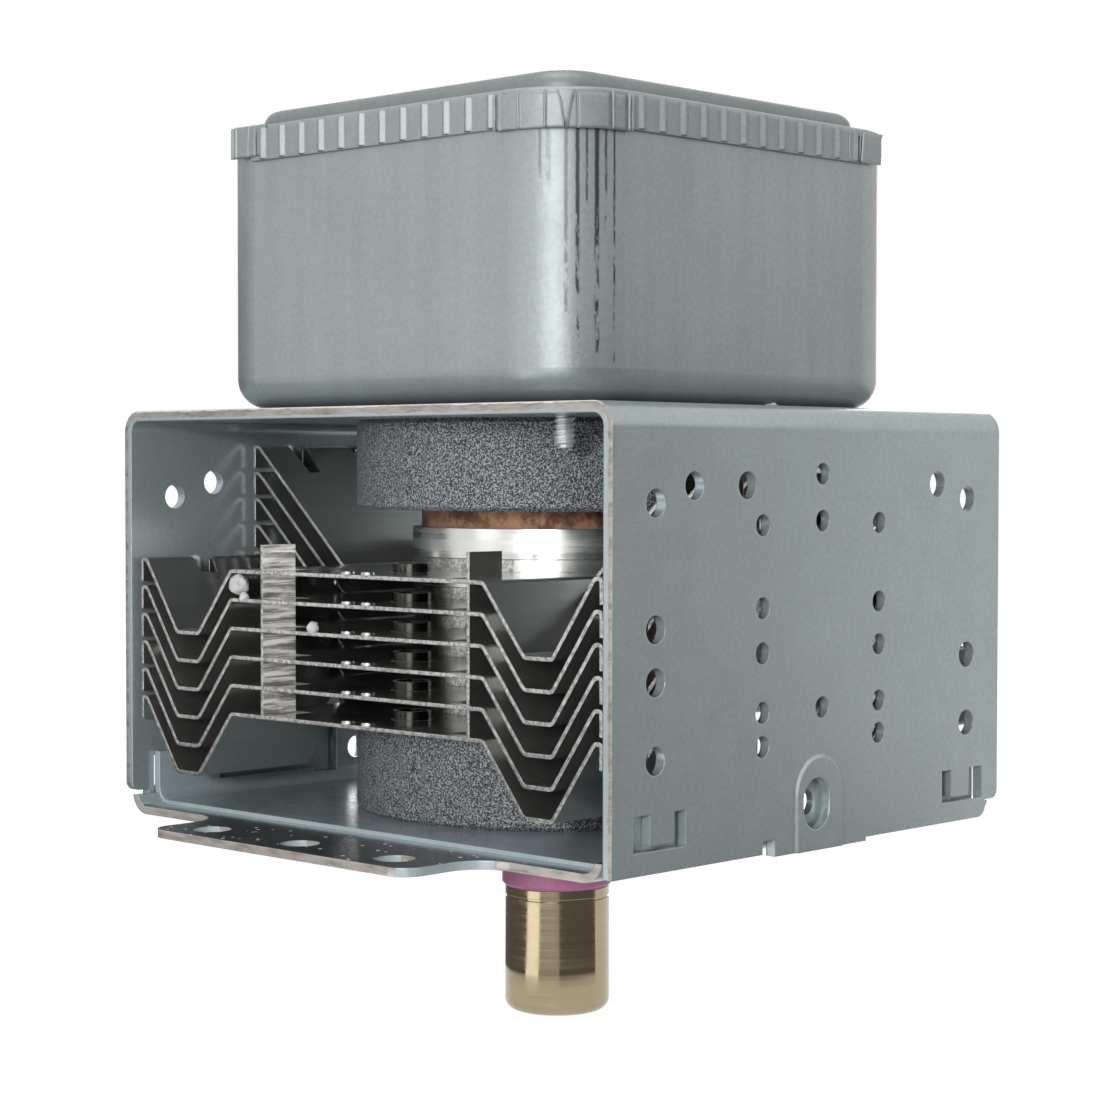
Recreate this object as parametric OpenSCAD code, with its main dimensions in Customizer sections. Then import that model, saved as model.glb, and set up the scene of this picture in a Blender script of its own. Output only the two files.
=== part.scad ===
// Continuous-wave cavity magnetron of the kind used for dielectric heating.
// Frame: the antenna points down, +Z is up, the air blows through along Y.
// Origin: on the antenna axis, in the plane of the mounting face under the flanges.

/* [Yoke] */
// Width over the two perforated walls
yoke_w = 92; // [88:1:98]
// Depth of the walls, from one open side to the other
yoke_d = 78.6; // [77.4:0.2:84]
// Height of the top plate above the mounting face
yoke_h = 56; // [55.6:0.2:60]
// Thickness of the yoke steel
sheet_t = 1.4; // [1.2:0.1:1.6]
// Outer bend radius at the top corners
yoke_bend_r = 3; // [2.2:0.1:4]
// Diameter of the large wall perforations
big_hole_d = 3.4; // [2.6:0.1:4]
// Diameter of the small wall perforations
small_hole_d = 2.7; // [2:0.1:3.2]
// Height of the walls' lower edge above the mounting face
wall_lift = 0.7; // [0.5:0.1:1]
// Height of the foot in the middle of that edge
foot_lift = 0.2; // [0:0.1:0.4]
// Half the width of the foot
foot_half = 9.35; // [8.8:0.05:9.8]
// Width of the arched screw boss low on each wall
arch_w = 10; // [9.6:0.1:11]
// Place of the boss along the wall, from the axis
arch_mid = -0.6; // [-1:0.1:0]
// Width of the boss's sloping flank
arch_flank = 0.5; // [0.3:0.1:1]
// How far the arched boss stands out of the wall
arch_rise = 0.35; // [0.2:0.05:0.6]
// Width of the slotted hole in the arched boss
arch_hole_d = 5.3; // [4.8:0.1:5.6]
// How much taller than wide that hole is
arch_hole_more = 1.2; // [0.6:0.1:1.4]
// Height of that hole above the mounting face
arch_hole_z = 6.1; // [5.8:0.1:6.3]
// Width of a lanced locking tongue
tongue_w = 4.2; // [3.5:0.1:5]
// Length of a locking tongue
tongue_l = 3.7; // [3.2:0.1:3.8]
// Angle at which the tongues lean inward
tongue_angle = 1; // [0:0.5:1.5]

/* [Base plate] */
// Thickness of the base plate's steel
plate_t = 1.1; // [1:0.05:1.3]
// How far the middle of the plate is raised above its front and rear strips
plate_raise = 0.5; // [0.3:0.1:0.8]
// Distance of the flange's front edge from the axis
flange_reach = 51.8; // [50:0.2:54]
// Width of a flange
flange_w = 49; // [46:0.2:52]
// Corner radius of a flange
flange_r = 3; // [2:0.5:4.5]
// Fillet at the root of a flange
flange_fillet = 5; // [3:0.5:6]
// Diameter of the mounting holes
mount_hole_d = 5; // [4.2:0.1:5.4]
// Spacing of neighbouring mounting holes along a flange
mount_pitch = 17.5; // [16:0.25:18]
// Distance of the rows of mounting holes from the flange's front edge
mount_edge = 5; // [4.4:0.1:6]
// Distance of the joggle from the front edge of the plate
crease_in = 3.8; // [3.4:0.1:4.4]
// Height of the upturned side flanges above the mounting face
side_flange_h = 3.6; // [3.4:0.1:3.8]
// Height by which the ears behind the wall's lanced windows overlap the windows
ear_over = 0.6; // [0.3:0.1:1]
// Core hole for the M4 screw in each side tab
side_screw_d = 3.3; // [3:0.1:3.5]
// Radius of the hole round the antenna
antenna_hole_r = 9.6; // [9.5:0.1:9.9]

/* [Magnets] */
// Outer diameter of the ferrite rings
magnet_od = 55.4; // [52:0.2:57]
// Bore of the ferrite rings
magnet_id = 21; // [20.8:0.1:24]
// Thickness of each ring
magnet_t = 12; // [11.6:0.1:12.2]
// Chamfer on the edges of the rings
magnet_chamfer = 0.5; // [0.2:0.1:1]

/* [Cooling fins] */
// Thickness of the fin sheet
fin_t = 0.5; // [0.4:0.05:0.7]
// Height from one fin to the next
fin_pitch = 3.84; // [3.4:0.02:3.9]
// Depth of a fin along the air path
fin_d = 76.8; // [74:0.2:77.2]
// Half width of the flat middle of a fin
fin_flat = 24; // [23.6:0.1:25]
// Depth of the V folded into the outer wings
fin_v_depth = 8.7; // [7:0.1:9]
// Distance from the axis to the inner bend at the bottom of the V
fin_v_in = 31; // [30:0.2:32]
// Distance from the axis to the outer bend at the bottom of the V
fin_v_out = 35.6; // [34.6:0.2:36.6]
// Height of the top of a wall lip above its fin
fin_lip_rise = 1.1; // [0.6:0.1:2]
// Length of the lip that turns down beside the wall
fin_lip_h = 3; // [2:0.1:3.4]
// Rise of the middle wings, from the flat to the wall
fin_up_rise = 16.9; // [14:0.1:17.5]
// Half depth of the middle wings along the air path
fin_mid_d = 18.2; // [17:0.1:18.6]
// Slit between neighbouring wings
fin_slit = 0.6; // [0.4:0.1:1.4]
// Distance of the middle wings' outer lip notches from the centre plane
fin_notch_y = 11; // [9:0.1:12]
// Width of the notches between the wall lips
fin_notch_w = 4.4; // [3:0.1:5]
// Reach of the notches in from the lips
fin_notch_l = 2.4; // [1.6:0.1:3.2]
// Reach of the middle wings' outer notches in from the lips
fin_slot_l = 5.2; // [3:0.1:6]
// Distance of the spacer tabs from the axis
fin_tab_x = 19.65; // [19:0.05:20.5]
// Depth of a spacer tab along the air path
fin_tab_d = 5.7; // [4.5:0.1:6.5]
// Distance of the spacer tabs behind the fin's edge
fin_tab_set = 1.8; // [1:0.1:2.4]
// Diameter of the raised eyelets on a fin's centre line
eyelet_d = 5; // [4:0.1:5.6]
// Distance of an eyelet from the axis
eyelet_y = 27.6; // [26.5:0.1:29]
// Height of an eyelet above the sheet
eyelet_h = 1.2; // [0.6:0.1:1.6]
// Diameter of the pressed buttons near a fin's edge
button_d = 2; // [1.6:0.1:2.4]
// Distance of a button from the centre line
button_x = 1.9; // [1.6:0.1:2.4]
// Height of the collar that grips the tube
fin_collar_h = 1.6; // [1:0.1:2.4]
// Gap between the wall lips and the yoke
fin_wall_gap = 0.9; // [0.5:0.1:1.6]

/* [Tube] */
// Outer diameter of the copper anode shell
anode_od = 38.4; // [37.6:0.2:38.8]
// Wall of the anode shell
anode_wall = 1.8; // [1.4:0.1:2.4]
// Number of resonator vanes
vane_count = 10; // [8:2:12]
// Thickness of a vane
vane_t = 2; // [1.6:0.1:2.2]
// Height of the vanes along the axis
vane_h = 9.5; // [8:0.5:10]
// Radius of the circle that the vane tips leave open
vane_tip_r = 4.6; // [4.4:0.1:5]
// Width of a strap ring
strap_w = 0.8; // [0.6:0.1:1]
// Diameter of the rim of the upper pole piece
pole_rim_d = 37.5; // [36:0.1:38]
// Thickness of the upper pole piece's rim
upper_pole_t = 2.4; // [2:0.1:2.8]
// Thickness of the lower pole piece's rim
lower_pole_t = 1.1; // [0.8:0.1:1.2]
// Sheet of the funnel-shaped middle of the pole pieces
pole_sheet = 1.5; // [1.2:0.1:1.8]
// Bore through the tip of the pole pieces
pole_bore_d = 9.6; // [9:0.1:10]
// Length of the bright end sleeve round the top of the anode
end_sleeve_h = 4; // [3:0.1:4.2]
// Thickness of the end sleeve
end_sleeve_t = 0.75; // [0.5:0.05:0.9]

/* [Cathode] */
// Diameter of the filament coil
filament_d = 3.9; // [3.4:0.1:4.2]
// Diameter of the filament wire
filament_wire = 0.5; // [0.4:0.05:0.6]
// Turns of the filament
filament_turns = 8; // [6:1:9]
// Diameter of the end hats
hat_d = 7.2; // [6.6:0.1:7.6]
// Thickness of an end hat
hat_t = 1.4; // [1.2:0.1:1.5]
// Diameter of the cathode leads
lead_d = 1.4; // [1.2:0.1:1.5]
// Distance of the side lead from the axis
side_lead_y = 2.6; // [2.4:0.1:2.7]
// Outer diameter of the metal seal cups
cup_d = 18.4; // [17.8:0.1:18.6]
// Sheet of the seal cups
cup_t = 0.6; // [0.5:0.05:0.8]
// Width of the seat on which a seal cup carries the stem insulator
cup_seat_w = 2; // [1.6:0.1:2.4]
// Height of the seal cup's rim above the top plate
stem_rise = 3.4; // [3:0.1:4]
// Diameter of the white stem insulator
stem_d = 16.6; // [15:0.2:17.4]
// Height of the stem insulator
stem_h = 10; // [8:0.5:11]
// Length of the leads above the stem insulator
lead_rise = 2; // [1.5:0.1:3]

/* [Antenna] */
// Outer diameter of the pink insulator
insulator_d = 15.3; // [15:0.1:16]
// Bore of the pink insulator
insulator_bore = 11; // [10:0.2:11.6]
// Height of the top of the insulator below the mounting face
insulator_top = 1.5; // [1:0.1:2]
// Height of the insulator
insulator_h = 8.05; // [7:0.05:9]
// Outer diameter of the antenna cap
antenna_d = 14.45; // [14:0.05:14.9]
// Length of the antenna cap
antenna_l = 17.25; // [15:0.05:19]
// Sheet of the antenna cap
antenna_t = 0.5; // [0.4:0.05:0.7]
// Rounding of the cap's closed end
antenna_edge_r = 1.5; // [0.9:0.1:2]
// Diameter of the copper exhaust tube
exhaust_d = 4.4; // [4:0.1:5]
// Length of the exhaust tube below the insulator
exhaust_l = 13; // [10:0.5:14]
// Diameter of the antenna lead
antenna_lead_d = 1.8; // [1.4:0.1:2]
// Distance from the axis at which the lead meets its vane
antenna_lead_x = 11; // [10.5:0.1:11.5]
// Outer diameter of the radio-frequency gasket
gasket_od = 29; // [28:0.2:31]
// Inner diameter of the radio-frequency gasket
gasket_id = 20.6; // [20.4:0.2:22]
// Height of the gasket
gasket_h = 3.8; // [3:0.1:4.2]

/* [Filter box] */
// Side of the square filter box
box_side = 68.1; // [66.5:0.1:70]
// Height of the filter box up to its rim
box_h = 37.35; // [34:0.05:42]
// Radius of the box's upright corners
box_corner_r = 10; // [9:0.1:11]
// Rounding between the floor and the sides
box_floor_r = 4; // [3:0.1:5]
// Sheet of the box
box_t = 0.7; // [0.5:0.05:0.9]
// Thickness of the foil shim under the box
shim_t = 0.3; // [0.2:0.05:0.5]
// Distance of the box screws from both centre planes
screw_at = 25.4; // [24.6:0.1:26]
// Thread diameter of the box screws
screw_d = 2.6; // [2.2:0.1:3]
// Length of the screws below the top plate
screw_out = 3.95; // [3:0.05:5]

/* [Lid] */
// Depth of the lid's crimped skirt
skirt_h = 4.8; // [4:0.1:5.5]
// Sheet of the lid
lid_t = 0.45; // [0.4:0.05:0.6]
// Gap between the skirt and the box
lid_gap = 0.1; // [0.1:0.05:0.2]
// Height of the raised middle above the rim
plateau_h = 2.7; // [1.5:0.1:3.2]
// Width of the ledge round the raised middle
ledge_w = 4.2; // [3:0.1:5]
// Rounding of the edge of the raised middle
plateau_r = 2; // [1:0.1:2.4]
// Rounding of the lid's outer edge
rim_r = 0.9; // [0.65:0.05:1.2]
// Crimp ribs on each side of the skirt
rib_count = 12; // [8:2:14]
// Spacing of the crimp ribs
rib_pitch = 3.92; // [3:0.02:4]
// Width of a crimp rib
rib_w = 1.3; // [0.8:0.1:1.8]
// How far a crimp rib stands out
rib_rise = 0.45; // [0.2:0.05:0.6]
// Width of a crimp rib's crest
rib_crest = 0.2; // [0.1:0.05:0.5]
// How far the gathered sheet at the near corner stands out
corner_rise = 0.2; // [0.1:0.05:0.4]
// How much shorter the skirt is round the other corners
corner_lift = 1.6; // [0:0.1:2.2]

/* [Filter] */
// Mean diameter of the choke coils
choke_d = 8.4; // [7.8:0.1:9]
// Wire of the choke coils
choke_wire = 1.4; // [1.2:0.1:1.6]
// Turns of each choke coil
choke_turns = 8; // [6:1:9]
// Length of each choke coil
choke_l = 24; // [20:0.5:26]
// Distance of the choke coils from the centre plane
choke_y = 11; // [10:0.2:13]
// Width of the capacitor body
cap_w = 25; // [24:0.2:27]
// Height of the capacitor body
cap_h = 13; // [12:0.2:15]
// Length of the capacitor outside the box
cap_out = 7; // [5:0.5:9]
// Length of the capacitor inside the box
cap_in = 7; // [6:0.5:8]
// Margin of the mounting flange round the capacitor
cap_margin = 4.5; // [4:0.1:5.5]
// Thickness of the capacitor's flange
cap_flange_t = 0.8; // [0.6:0.1:1]
// Distance of each terminal from the middle of the capacitor
terminal_y = 5; // [4.5:0.1:6]
// Width of a blade terminal
blade_w = 6.3; // [4.8:0.1:6.3]
// Length of a blade terminal
blade_l = 8; // [6:0.5:9]
// Thickness of a blade terminal
blade_t = 0.8; // [0.5:0.1:1]

/* [Hidden] */
$fn = 64;
small_fn = 32;
wire_sides = 8;
cut = 0.5;          // overshoot of cutting tools
fin_foot = 1.5;     // lowest fin above the lower magnet
eyelet_wall = 0.4;  // sheet of the drawn eyelets
button_h = 0.35;    // height of the pressed buttons above the sheet
button_edge = 1.35; // distance of the buttons from a fin's edge
slip = 0.05;        // running fit of the round parts
seat = 0.1;         // clearance of the parts slid together

// Heights of the stack, from the mounting face up
plate_z = plate_raise;
plate_top = plate_z + plate_t;
yoke_top = yoke_h;
top_under = yoke_top - sheet_t;
pole_low = plate_top + magnet_t;
pole_high = top_under - magnet_t;
anode_z0 = pole_low + lower_pole_t;
anode_z1 = pole_high - upper_pole_t;
vane_z0 = (anode_z0 + anode_z1 - vane_h) / 2;
vane_z1 = vane_z0 + vane_h;
fin_z0 = pole_low + fin_foot;
box_z0 = yoke_top + shim_t;
box_z1 = box_z0 + box_h;
stem_z0 = yoke_top + stem_rise;
stem_z1 = stem_z0 + stem_h;
lead_top = stem_z1 + lead_rise;
cap_z = (box_z0 + box_z1) / 2;
insulator_z0 = -insulator_top - insulator_h;

// Half widths and radii shared by the pieces that meet
wall_out = yoke_w / 2;
wall_in = wall_out - sheet_t;
half_d = yoke_d / 2;
anode_r = anode_od / 2;
cup_r = cup_d / 2;
cup_bore_r = cup_r - cup_t;
fin_bore_r = anode_r + slip;
fin_collar_r = fin_bore_r + fin_t;
box_half = box_side / 2;
lid_grow = lid_gap + lid_t;
stem_hole_r = cup_r + 0.9;
pole_tip_gap = 0.85;
exhaust_pinch_h = 3;

// Slanted stretch on which the antenna lead goes through the lower pole piece
lead_pass_top = [antenna_lead_x, 0, pole_low + 4.2];
lead_pass_foot = [antenna_lead_x / 2, 0, pole_low - 1.5];
strap_h = 0.8;

// Wall perforations as [distance along the wall, height above the mounting face]
pair_holes_big = [[31.75, 44.1], [24.8, 46.1], [31.75, 23.1], [31.75, 13.9]];
front_holes_big = [[-14.9, 46.1], [-31.75, 29.3]];
pair_holes_small = [for (z = [41.2, 31.05, 25.5, 18.2, 14]) [11.9, z]];
mid_holes_small = [[0, 47.5], [0, 41.6], [0, 18.1]];

// Lanced windows in the walls: the tongue hangs from the upper edge
tongue_mid = 30.5;
window_in = tongue_w / 2 + 2.1;
window_out = tongue_w / 2 + 3;
window_top = 7.7;
window_bottom = 3.4;
arch_top = arch_hole_z + arch_w / 2 + 1.25;
arch_hole_y = arch_mid - 0.8;
arch_sink = 0.2;
relief_y = half_d - 2.8;
relief_z = 3;
side_flange_gap = 7;
side_tab_w = 7.6;
side_tab_top = arch_hole_z + 4.4;
base_bend_r = 3;
crease_y = half_d - crease_in;
mount_row = flange_reach - mount_edge;
ear_in = tongue_mid - window_out - ear_over;
ear_top = window_top + ear_over;
joggle_l = 0.7;

function unit(v) = v / norm(v);
function left_of(v) = [-v[1], v[0]];

// Offset of point i of an open line to its left, mitred at the bends
function mitred(pts, i, h) =
    let (last = len(pts) - 1,
         a = unit(i > 0 ? pts[i] - pts[i - 1] : pts[1] - pts[0]),
         b = unit(i < last ? pts[i + 1] - pts[i] : pts[i] - pts[i - 1]),
         m = unit(left_of(a) + left_of(b)))
    pts[i] + m * h / (m * left_of(a));

// Outline of a sheet of thickness t that follows an open line
function strip(pts, t) =
    let (last = len(pts) - 1)
    concat([for (i = [0 : last]) mitred(pts, i, t / 2)],
           [for (i = [last : -1 : 0]) mitred(pts, i, -t / 2)]);

// An open line with its inner corners softened over the distance d
function softened(pts, d) =
    let (last = len(pts) - 1)
    concat([pts[0]],
           [for (i = [1 : last - 1])
               let (a = pts[i] + unit(pts[i - 1] - pts[i]) * d,
                    b = pts[i] + unit(pts[i + 1] - pts[i]) * d)
               for (p = [a, (a + b) / 4 + pts[i] / 2, b]) p],
           [pts[last]]);

function tangent(path, i) =
    let (last = len(path) - 1)
    unit(path[min(i + 1, last)] - path[max(i - 1, 0)]);

// Cross directions carried along a path without twist
function carried(path, n, i = 0, done = []) =
    i == len(path) ? done :
    let (t = tangent(path, i), u = unit(n - t * (n * t)))
    carried(path, u, i + 1, concat(done, [[u, cross(t, u)]]));

// Round wire of diameter d along a path; n is any direction across its start
module wire(path, d, n, sides = wire_sides) {
    dirs = carried(path, n);
    last = len(path) - 1;
    points = [for (i = [0 : last]) for (k = [0 : sides - 1])
        path[i] + (dirs[i][0] * cos(360 * k / sides) + dirs[i][1] * sin(360 * k / sides)) * d / 2];
    faces = concat(
        [[for (k = [0 : sides - 1]) k]],
        [for (i = [0 : last - 1]) for (k = [0 : sides - 1])
            [i * sides + k, (i + 1) * sides + k,
             (i + 1) * sides + (k + 1) % sides, i * sides + (k + 1) % sides]],
        [[for (k = [sides - 1 : -1 : 0]) last * sides + k]]);
    polyhedron(points, faces, convexity = 10);
}

module ring(r_out, r_in, z0, z1) {
    translate([0, 0, z0]) difference() {
        cylinder(r = r_out, h = z1 - z0);
        translate([0, 0, -cut]) cylinder(r = r_in, h = z1 - z0 + 2 * cut);
    }
}

// Block between two corners
module block(a, b) {
    translate(a) cube(b - a);
}

// Square drawn form: the child is the edge profile, measured outward from the corner axis
module drawn_square(half, corner_r, z0, z1) {
    core = half - corner_r;
    block([-core, -core, z0], [core, core, z1]);
    for (q = [0 : 3]) rotate(90 * q) {
        translate([core, core, 0]) rotate_extrude(angle = 90) children();
        translate([core, core, 0]) rotate([90, 0, 0]) linear_extrude(2 * core) children();
    }
}

// Rectangle with two round corners at its lower end
module round_tongue_2d(half_w, y0, y1, r) {
    translate([-half_w, y0 + r]) square([2 * half_w, y1 - y0 - r]);
    translate([r - half_w, y0]) square([2 * (half_w - r), r + cut]);
    for (s = [-1, 1]) translate([s * (half_w - r), y0 + r]) circle(r);
}

// Section of a sheet bent into an upright channel, open at the top
module channel_2d(half_w, h, r, t) {
    difference() {
        round_tongue_2d(half_w, 0, h, r);
        round_tongue_2d(half_w - t, t, h + cut, r - t);
    }
}

module along_y(d) {
    translate([0, d / 2, 0]) rotate([90, 0, 0]) linear_extrude(d) children();
}

// Outline of one wall's cut-outs, in the wall's own plane: x along the wall, y up
module wall_holes_2d() {
    for (p = pair_holes_big) for (s = [-1, 1]) translate([s * p[0], p[1]]) circle(d = big_hole_d);
    for (p = front_holes_big) translate(p) circle(d = big_hole_d);
    for (p = pair_holes_small) for (s = [-1, 1]) translate([s * p[0], p[1]]) circle(d = small_hole_d);
    for (p = mid_holes_small) translate(p) circle(d = small_hole_d);
}

// Arch outline of the screw boss, round at the top and open at the lower edge
module arch_2d(w, top, bottom) {
    translate([0, top - w / 2]) circle(d = w);
    translate([-w / 2, bottom]) square([w, top - w / 2 - bottom]);
}

// Arched boss on the +X wall from depth x0 outward, with sloping flanks
module arch_boss(x0, rise) {
    r = arch_w / 2;
    z = arch_top - r;
    translate([x0, arch_mid, z]) rotate([0, 90, 0]) cylinder(r1 = r, r2 = r - arch_flank, h = rise);
    translate([0, arch_mid, foot_lift]) linear_extrude(z - foot_lift)
        polygon([[x0, -r], [x0 + rise, arch_flank - r], [x0 + rise, r - arch_flank], [x0, r]]);
}

// Slotted hole of the arched boss
module arch_hole_2d() {
    for (s = [-1, 1])
        translate([arch_hole_y, arch_hole_z + s * arch_hole_more / 2]) circle(d = arch_hole_d);
    translate([arch_hole_y, arch_hole_z]) square([arch_hole_d, arch_hole_more], center = true);
}

// What is cut away to round off a corner at the origin, whose body lies above and on the far side from s
module round_off_2d(s, r) {
    difference() {
        translate([s > 0 ? -r : -cut, -cut]) square(r + cut);
        translate([-s * r, r]) circle(r);
    }
}

// Places the child, drawn as x along the wall and y up, on the +X wall from depth x0 outward
module on_wall(x0, depth) {
    translate([x0, 0, 0]) rotate([90, 0, 90]) linear_extrude(depth) children();
}

// Everything that is cut from one wall
module wall_cuts() {
    notch_w = 2.4;
    corner_r = 1.2;
    foot_r = 1.7;
    on_wall(wall_in - cut, sheet_t + 2 * cut) {
        wall_holes_2d();
        translate([-foot_half - cut, -cut]) square([2 * (foot_half + cut), foot_lift + cut]);
        translate([-foot_half - notch_w, -cut]) square([notch_w, 2.3 + cut]);
        translate([relief_y, -cut]) square([half_d + cut - relief_y, relief_z + cut]);
        translate([half_d, relief_z]) round_off_2d(1, corner_r);
        translate([relief_y, wall_lift]) round_off_2d(1, foot_r);
        for (s = [-1, 1]) {
            x0 = s > 0 ? foot_half : -half_d - cut;
            translate([x0, -cut]) square([half_d + cut - foot_half, wall_lift + cut]);
            w_in = s > 0 ? window_in : window_out;
            w_out = s > 0 ? window_out : window_in;
            translate([s * tongue_mid - w_in, window_bottom])
                square([w_in + w_out, window_top - window_bottom]);
        }
    }
    on_wall(wall_in - cut, cut + arch_rise)
        translate([arch_mid, 0]) arch_2d(arch_w - 2, arch_top - 1, -cut);
    on_wall(wall_in, sheet_t + cut) arch_hole_2d();
}

// The bent tongues and the outer skin of the arched boss of one wall
module wall_adds() {
    for (s = [-1, 1])
        translate([wall_out, s * tongue_mid - tongue_w / 2, window_top]) rotate([0, tongue_angle, 0])
            translate([-sheet_t, 0, -tongue_l]) cube([sheet_t, tongue_w, tongue_l + 0.1]);
    difference() {
        arch_boss(wall_out - arch_sink, arch_rise + arch_sink);
        on_wall(wall_out - cut, arch_rise + 2 * cut) arch_hole_2d();
    }
}

module yoke_shell() {
    color([0.56, 0.61, 0.63]) {
        difference() {
            translate([0, 0, yoke_top]) mirror([0, 0, 1])
                along_y(yoke_d) channel_2d(wall_out, yoke_h, yoke_bend_r, sheet_t);
            for (a = [0, 180]) rotate(a) wall_cuts();
            translate([0, 0, top_under - cut]) cylinder(r = stem_hole_r, h = sheet_t + 2 * cut);
            for (s = [-1, 1]) translate([s * screw_at, -s * screw_at, top_under - cut])
                cylinder(d = screw_d + 2 * slip, h = sheet_t + 2 * cut);
        }
        for (a = [0, 180]) rotate(a) wall_adds();
    }
}

// Outline of the front flange with the fillets at its root
module flange_2d() {
    half_w = flange_w / 2;
    f = flange_fillet;
    difference() {
        union() {
            round_tongue_2d(half_w, -flange_reach, -crease_y, flange_r);
            translate([-half_w - f, -half_d - f]) square([flange_w + 2 * f, f + half_d - crease_y]);
        }
        for (s = [-1, 1]) translate([s * (half_w + f), -half_d - f]) circle(f);
        for (i = [-1 : 1]) translate([i * mount_pitch, -mount_row]) circle(d = mount_hole_d);
    }
}

// The bent plate between y0 and y1, its underside at height z
module plate_length(y0, y1, z, h) {
    translate([0, (y0 + y1) / 2, z]) along_y(y1 - y0)
        channel_2d(wall_in - seat, h - z, base_bend_r, plate_t);
}

// What stands between the side flanges and the screw tab of the +X side
module side_gaps_2d() {
    for (s = [-1, 1]) {
        x0 = s > 0 ? arch_hole_y + side_tab_w / 2 : -half_d;
        x1 = s > 0 ? half_d : arch_hole_y - side_tab_w / 2;
        difference() {
            translate([x0, side_flange_h]) square([x1 - x0, side_tab_top]);
            translate([s > 0 ? ear_in : -half_d, 0]) square([half_d - ear_in, ear_top]);
        }
        translate([s > 0 ? x0 : -side_flange_gap, base_bend_r])
            square([side_flange_gap - s * arch_hole_y - side_tab_w / 2, side_tab_top]);
    }
    translate([arch_hole_y, arch_hole_z]) circle(d = side_screw_d);
}

module base_plate() {
    half_w = wall_in - seat;
    strip_h = relief_z - 0.5;
    joggle_y = -crease_y + joggle_l;
    color([0.5, 0.55, 0.57]) {
        difference() {
            plate_length(-crease_y, crease_y, plate_z, side_tab_top);
            translate([0, 0, -cut]) cylinder(r = antenna_hole_r, h = plate_top + 2 * cut);
            for (a = [0, 180]) rotate(a)
                on_wall(half_w - plate_t - cut, plate_t + 2 * cut) side_gaps_2d();
        }
        for (a = [0, 180]) rotate(a) {
            difference() {
                plate_length(-half_d, joggle_y, 0, side_tab_top);
                block([-wall_out, -half_d - cut, strip_h], [wall_out, joggle_y + cut, side_tab_top + cut]);
            }
            linear_extrude(plate_t) flange_2d();
        }
    }
}

module magnet(z0) {
    color([0.3, 0.32, 0.34]) translate([0, 0, z0]) rotate_extrude() {
        polygon([[magnet_id / 2, 0], [magnet_od / 2 - magnet_chamfer, 0], [magnet_od / 2, magnet_chamfer],
                 [magnet_od / 2, magnet_t - magnet_chamfer], [magnet_od / 2 - magnet_chamfer, magnet_t],
                 [magnet_id / 2, magnet_t]]);
    }
}

module upper_magnet() {
    magnet(pole_high);
}

module lower_magnet() {
    magnet(plate_top);
}

// One wing of a fin in the XZ plane, from the flat to its lip beside the wall
module wing_2d(up) {
    lip_x = wall_in - fin_wall_gap - fin_t / 2;
    turn = 1;
    top = up ? fin_up_rise : fin_lip_rise;
    foot = up ? [] : [[fin_v_in, -fin_v_depth], [fin_v_out, -fin_v_depth]];
    line = concat([[fin_flat - 1.2, 0], [fin_flat, 0]], foot,
                  [[lip_x - turn, top], [lip_x, top], [lip_x, top - fin_lip_h]]);
    polygon(strip(softened(line, 0.4), fin_t));
}

// Flat middle of a fin with its tube hole, tab windows and eyelets
module fin_flat_2d() {
    tab_y = fin_d / 2 - fin_tab_set - fin_tab_d;
    tab_h = fin_pitch - fin_t;
    difference() {
        square([2 * fin_flat - 2, fin_d], center = true);
        circle(fin_bore_r);
        for (sx = [-1, 1]) for (sy = [-1, 1]) scale([sx, sy]) {
            translate([fin_tab_x - fin_t / 2 - tab_h, tab_y]) square([tab_h, fin_tab_d]);
        }
        for (s = [-1, 1]) translate([0, s * eyelet_y]) circle(d = eyelet_d - 2 * eyelet_wall);
    }
}

// Plan of a notch between two wall lips, narrower toward the axis
module lip_notch_2d(w, l) {
    x1 = wall_in;
    x0 = x1 - fin_wall_gap - fin_t - l;
    polygon([[x0, -w * 0.32], [x1, -w / 2], [x1, w / 2], [x0, w * 0.32]]);
}

module cooling_fin(i) {
    edge = fin_d / 2;
    outer_d = edge - fin_mid_d - fin_slit;
    outer_y = edge - outer_d / 2;
    tab_y = edge - fin_tab_set - fin_tab_d;
    fin_mid_notch_w = 0.64 * fin_notch_w;
    fin_slot_w = 0.9 * fin_notch_w;
    color([0.82, 0.82, 0.8]) translate([0, 0, fin_z0 + (6 - i) * fin_pitch]) {
        translate([0, 0, -fin_t / 2]) linear_extrude(fin_t) fin_flat_2d();
        ring(fin_collar_r, fin_bore_r, -fin_t / 2, fin_t / 2 + fin_collar_h);
        for (s = [-1, 1]) {
            translate([0, s * eyelet_y, 0])
                ring(eyelet_d / 2, eyelet_d / 2 - eyelet_wall, -fin_t / 2, fin_t / 2 + eyelet_h);
            for (k = [-1, 1]) translate([k * button_x, s * (edge - button_edge), 0])
                cylinder(d1 = button_d, d2 = button_d - button_h, h = fin_t / 2 + button_h, $fn = small_fn);
        }
        for (m = [0, 1]) mirror([m, 0, 0]) {
            difference() {
                along_y(2 * fin_mid_d) wing_2d(up = true);
                linear_extrude(fin_up_rise + 1) {
                    lip_notch_2d(fin_mid_notch_w, fin_notch_l);
                    for (s = [-1, 1]) translate([0, s * fin_notch_y]) lip_notch_2d(fin_slot_w, fin_slot_l);
                }
            }
            for (s = [-1, 1]) translate([0, s * outer_y, 0]) difference() {
                along_y(outer_d) wing_2d(up = false);
                translate([0, 0, -fin_v_depth]) linear_extrude(2 * fin_v_depth)
                    lip_notch_2d(fin_notch_w, fin_notch_l);
            }
            for (s = [-1, 1]) scale([1, s, 1])
                block([fin_tab_x - fin_t / 2, tab_y, -fin_t / 2],
                      [fin_tab_x + fin_t / 2, tab_y + fin_tab_d, fin_pitch - fin_t / 2]);
        }
    }
}

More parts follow.
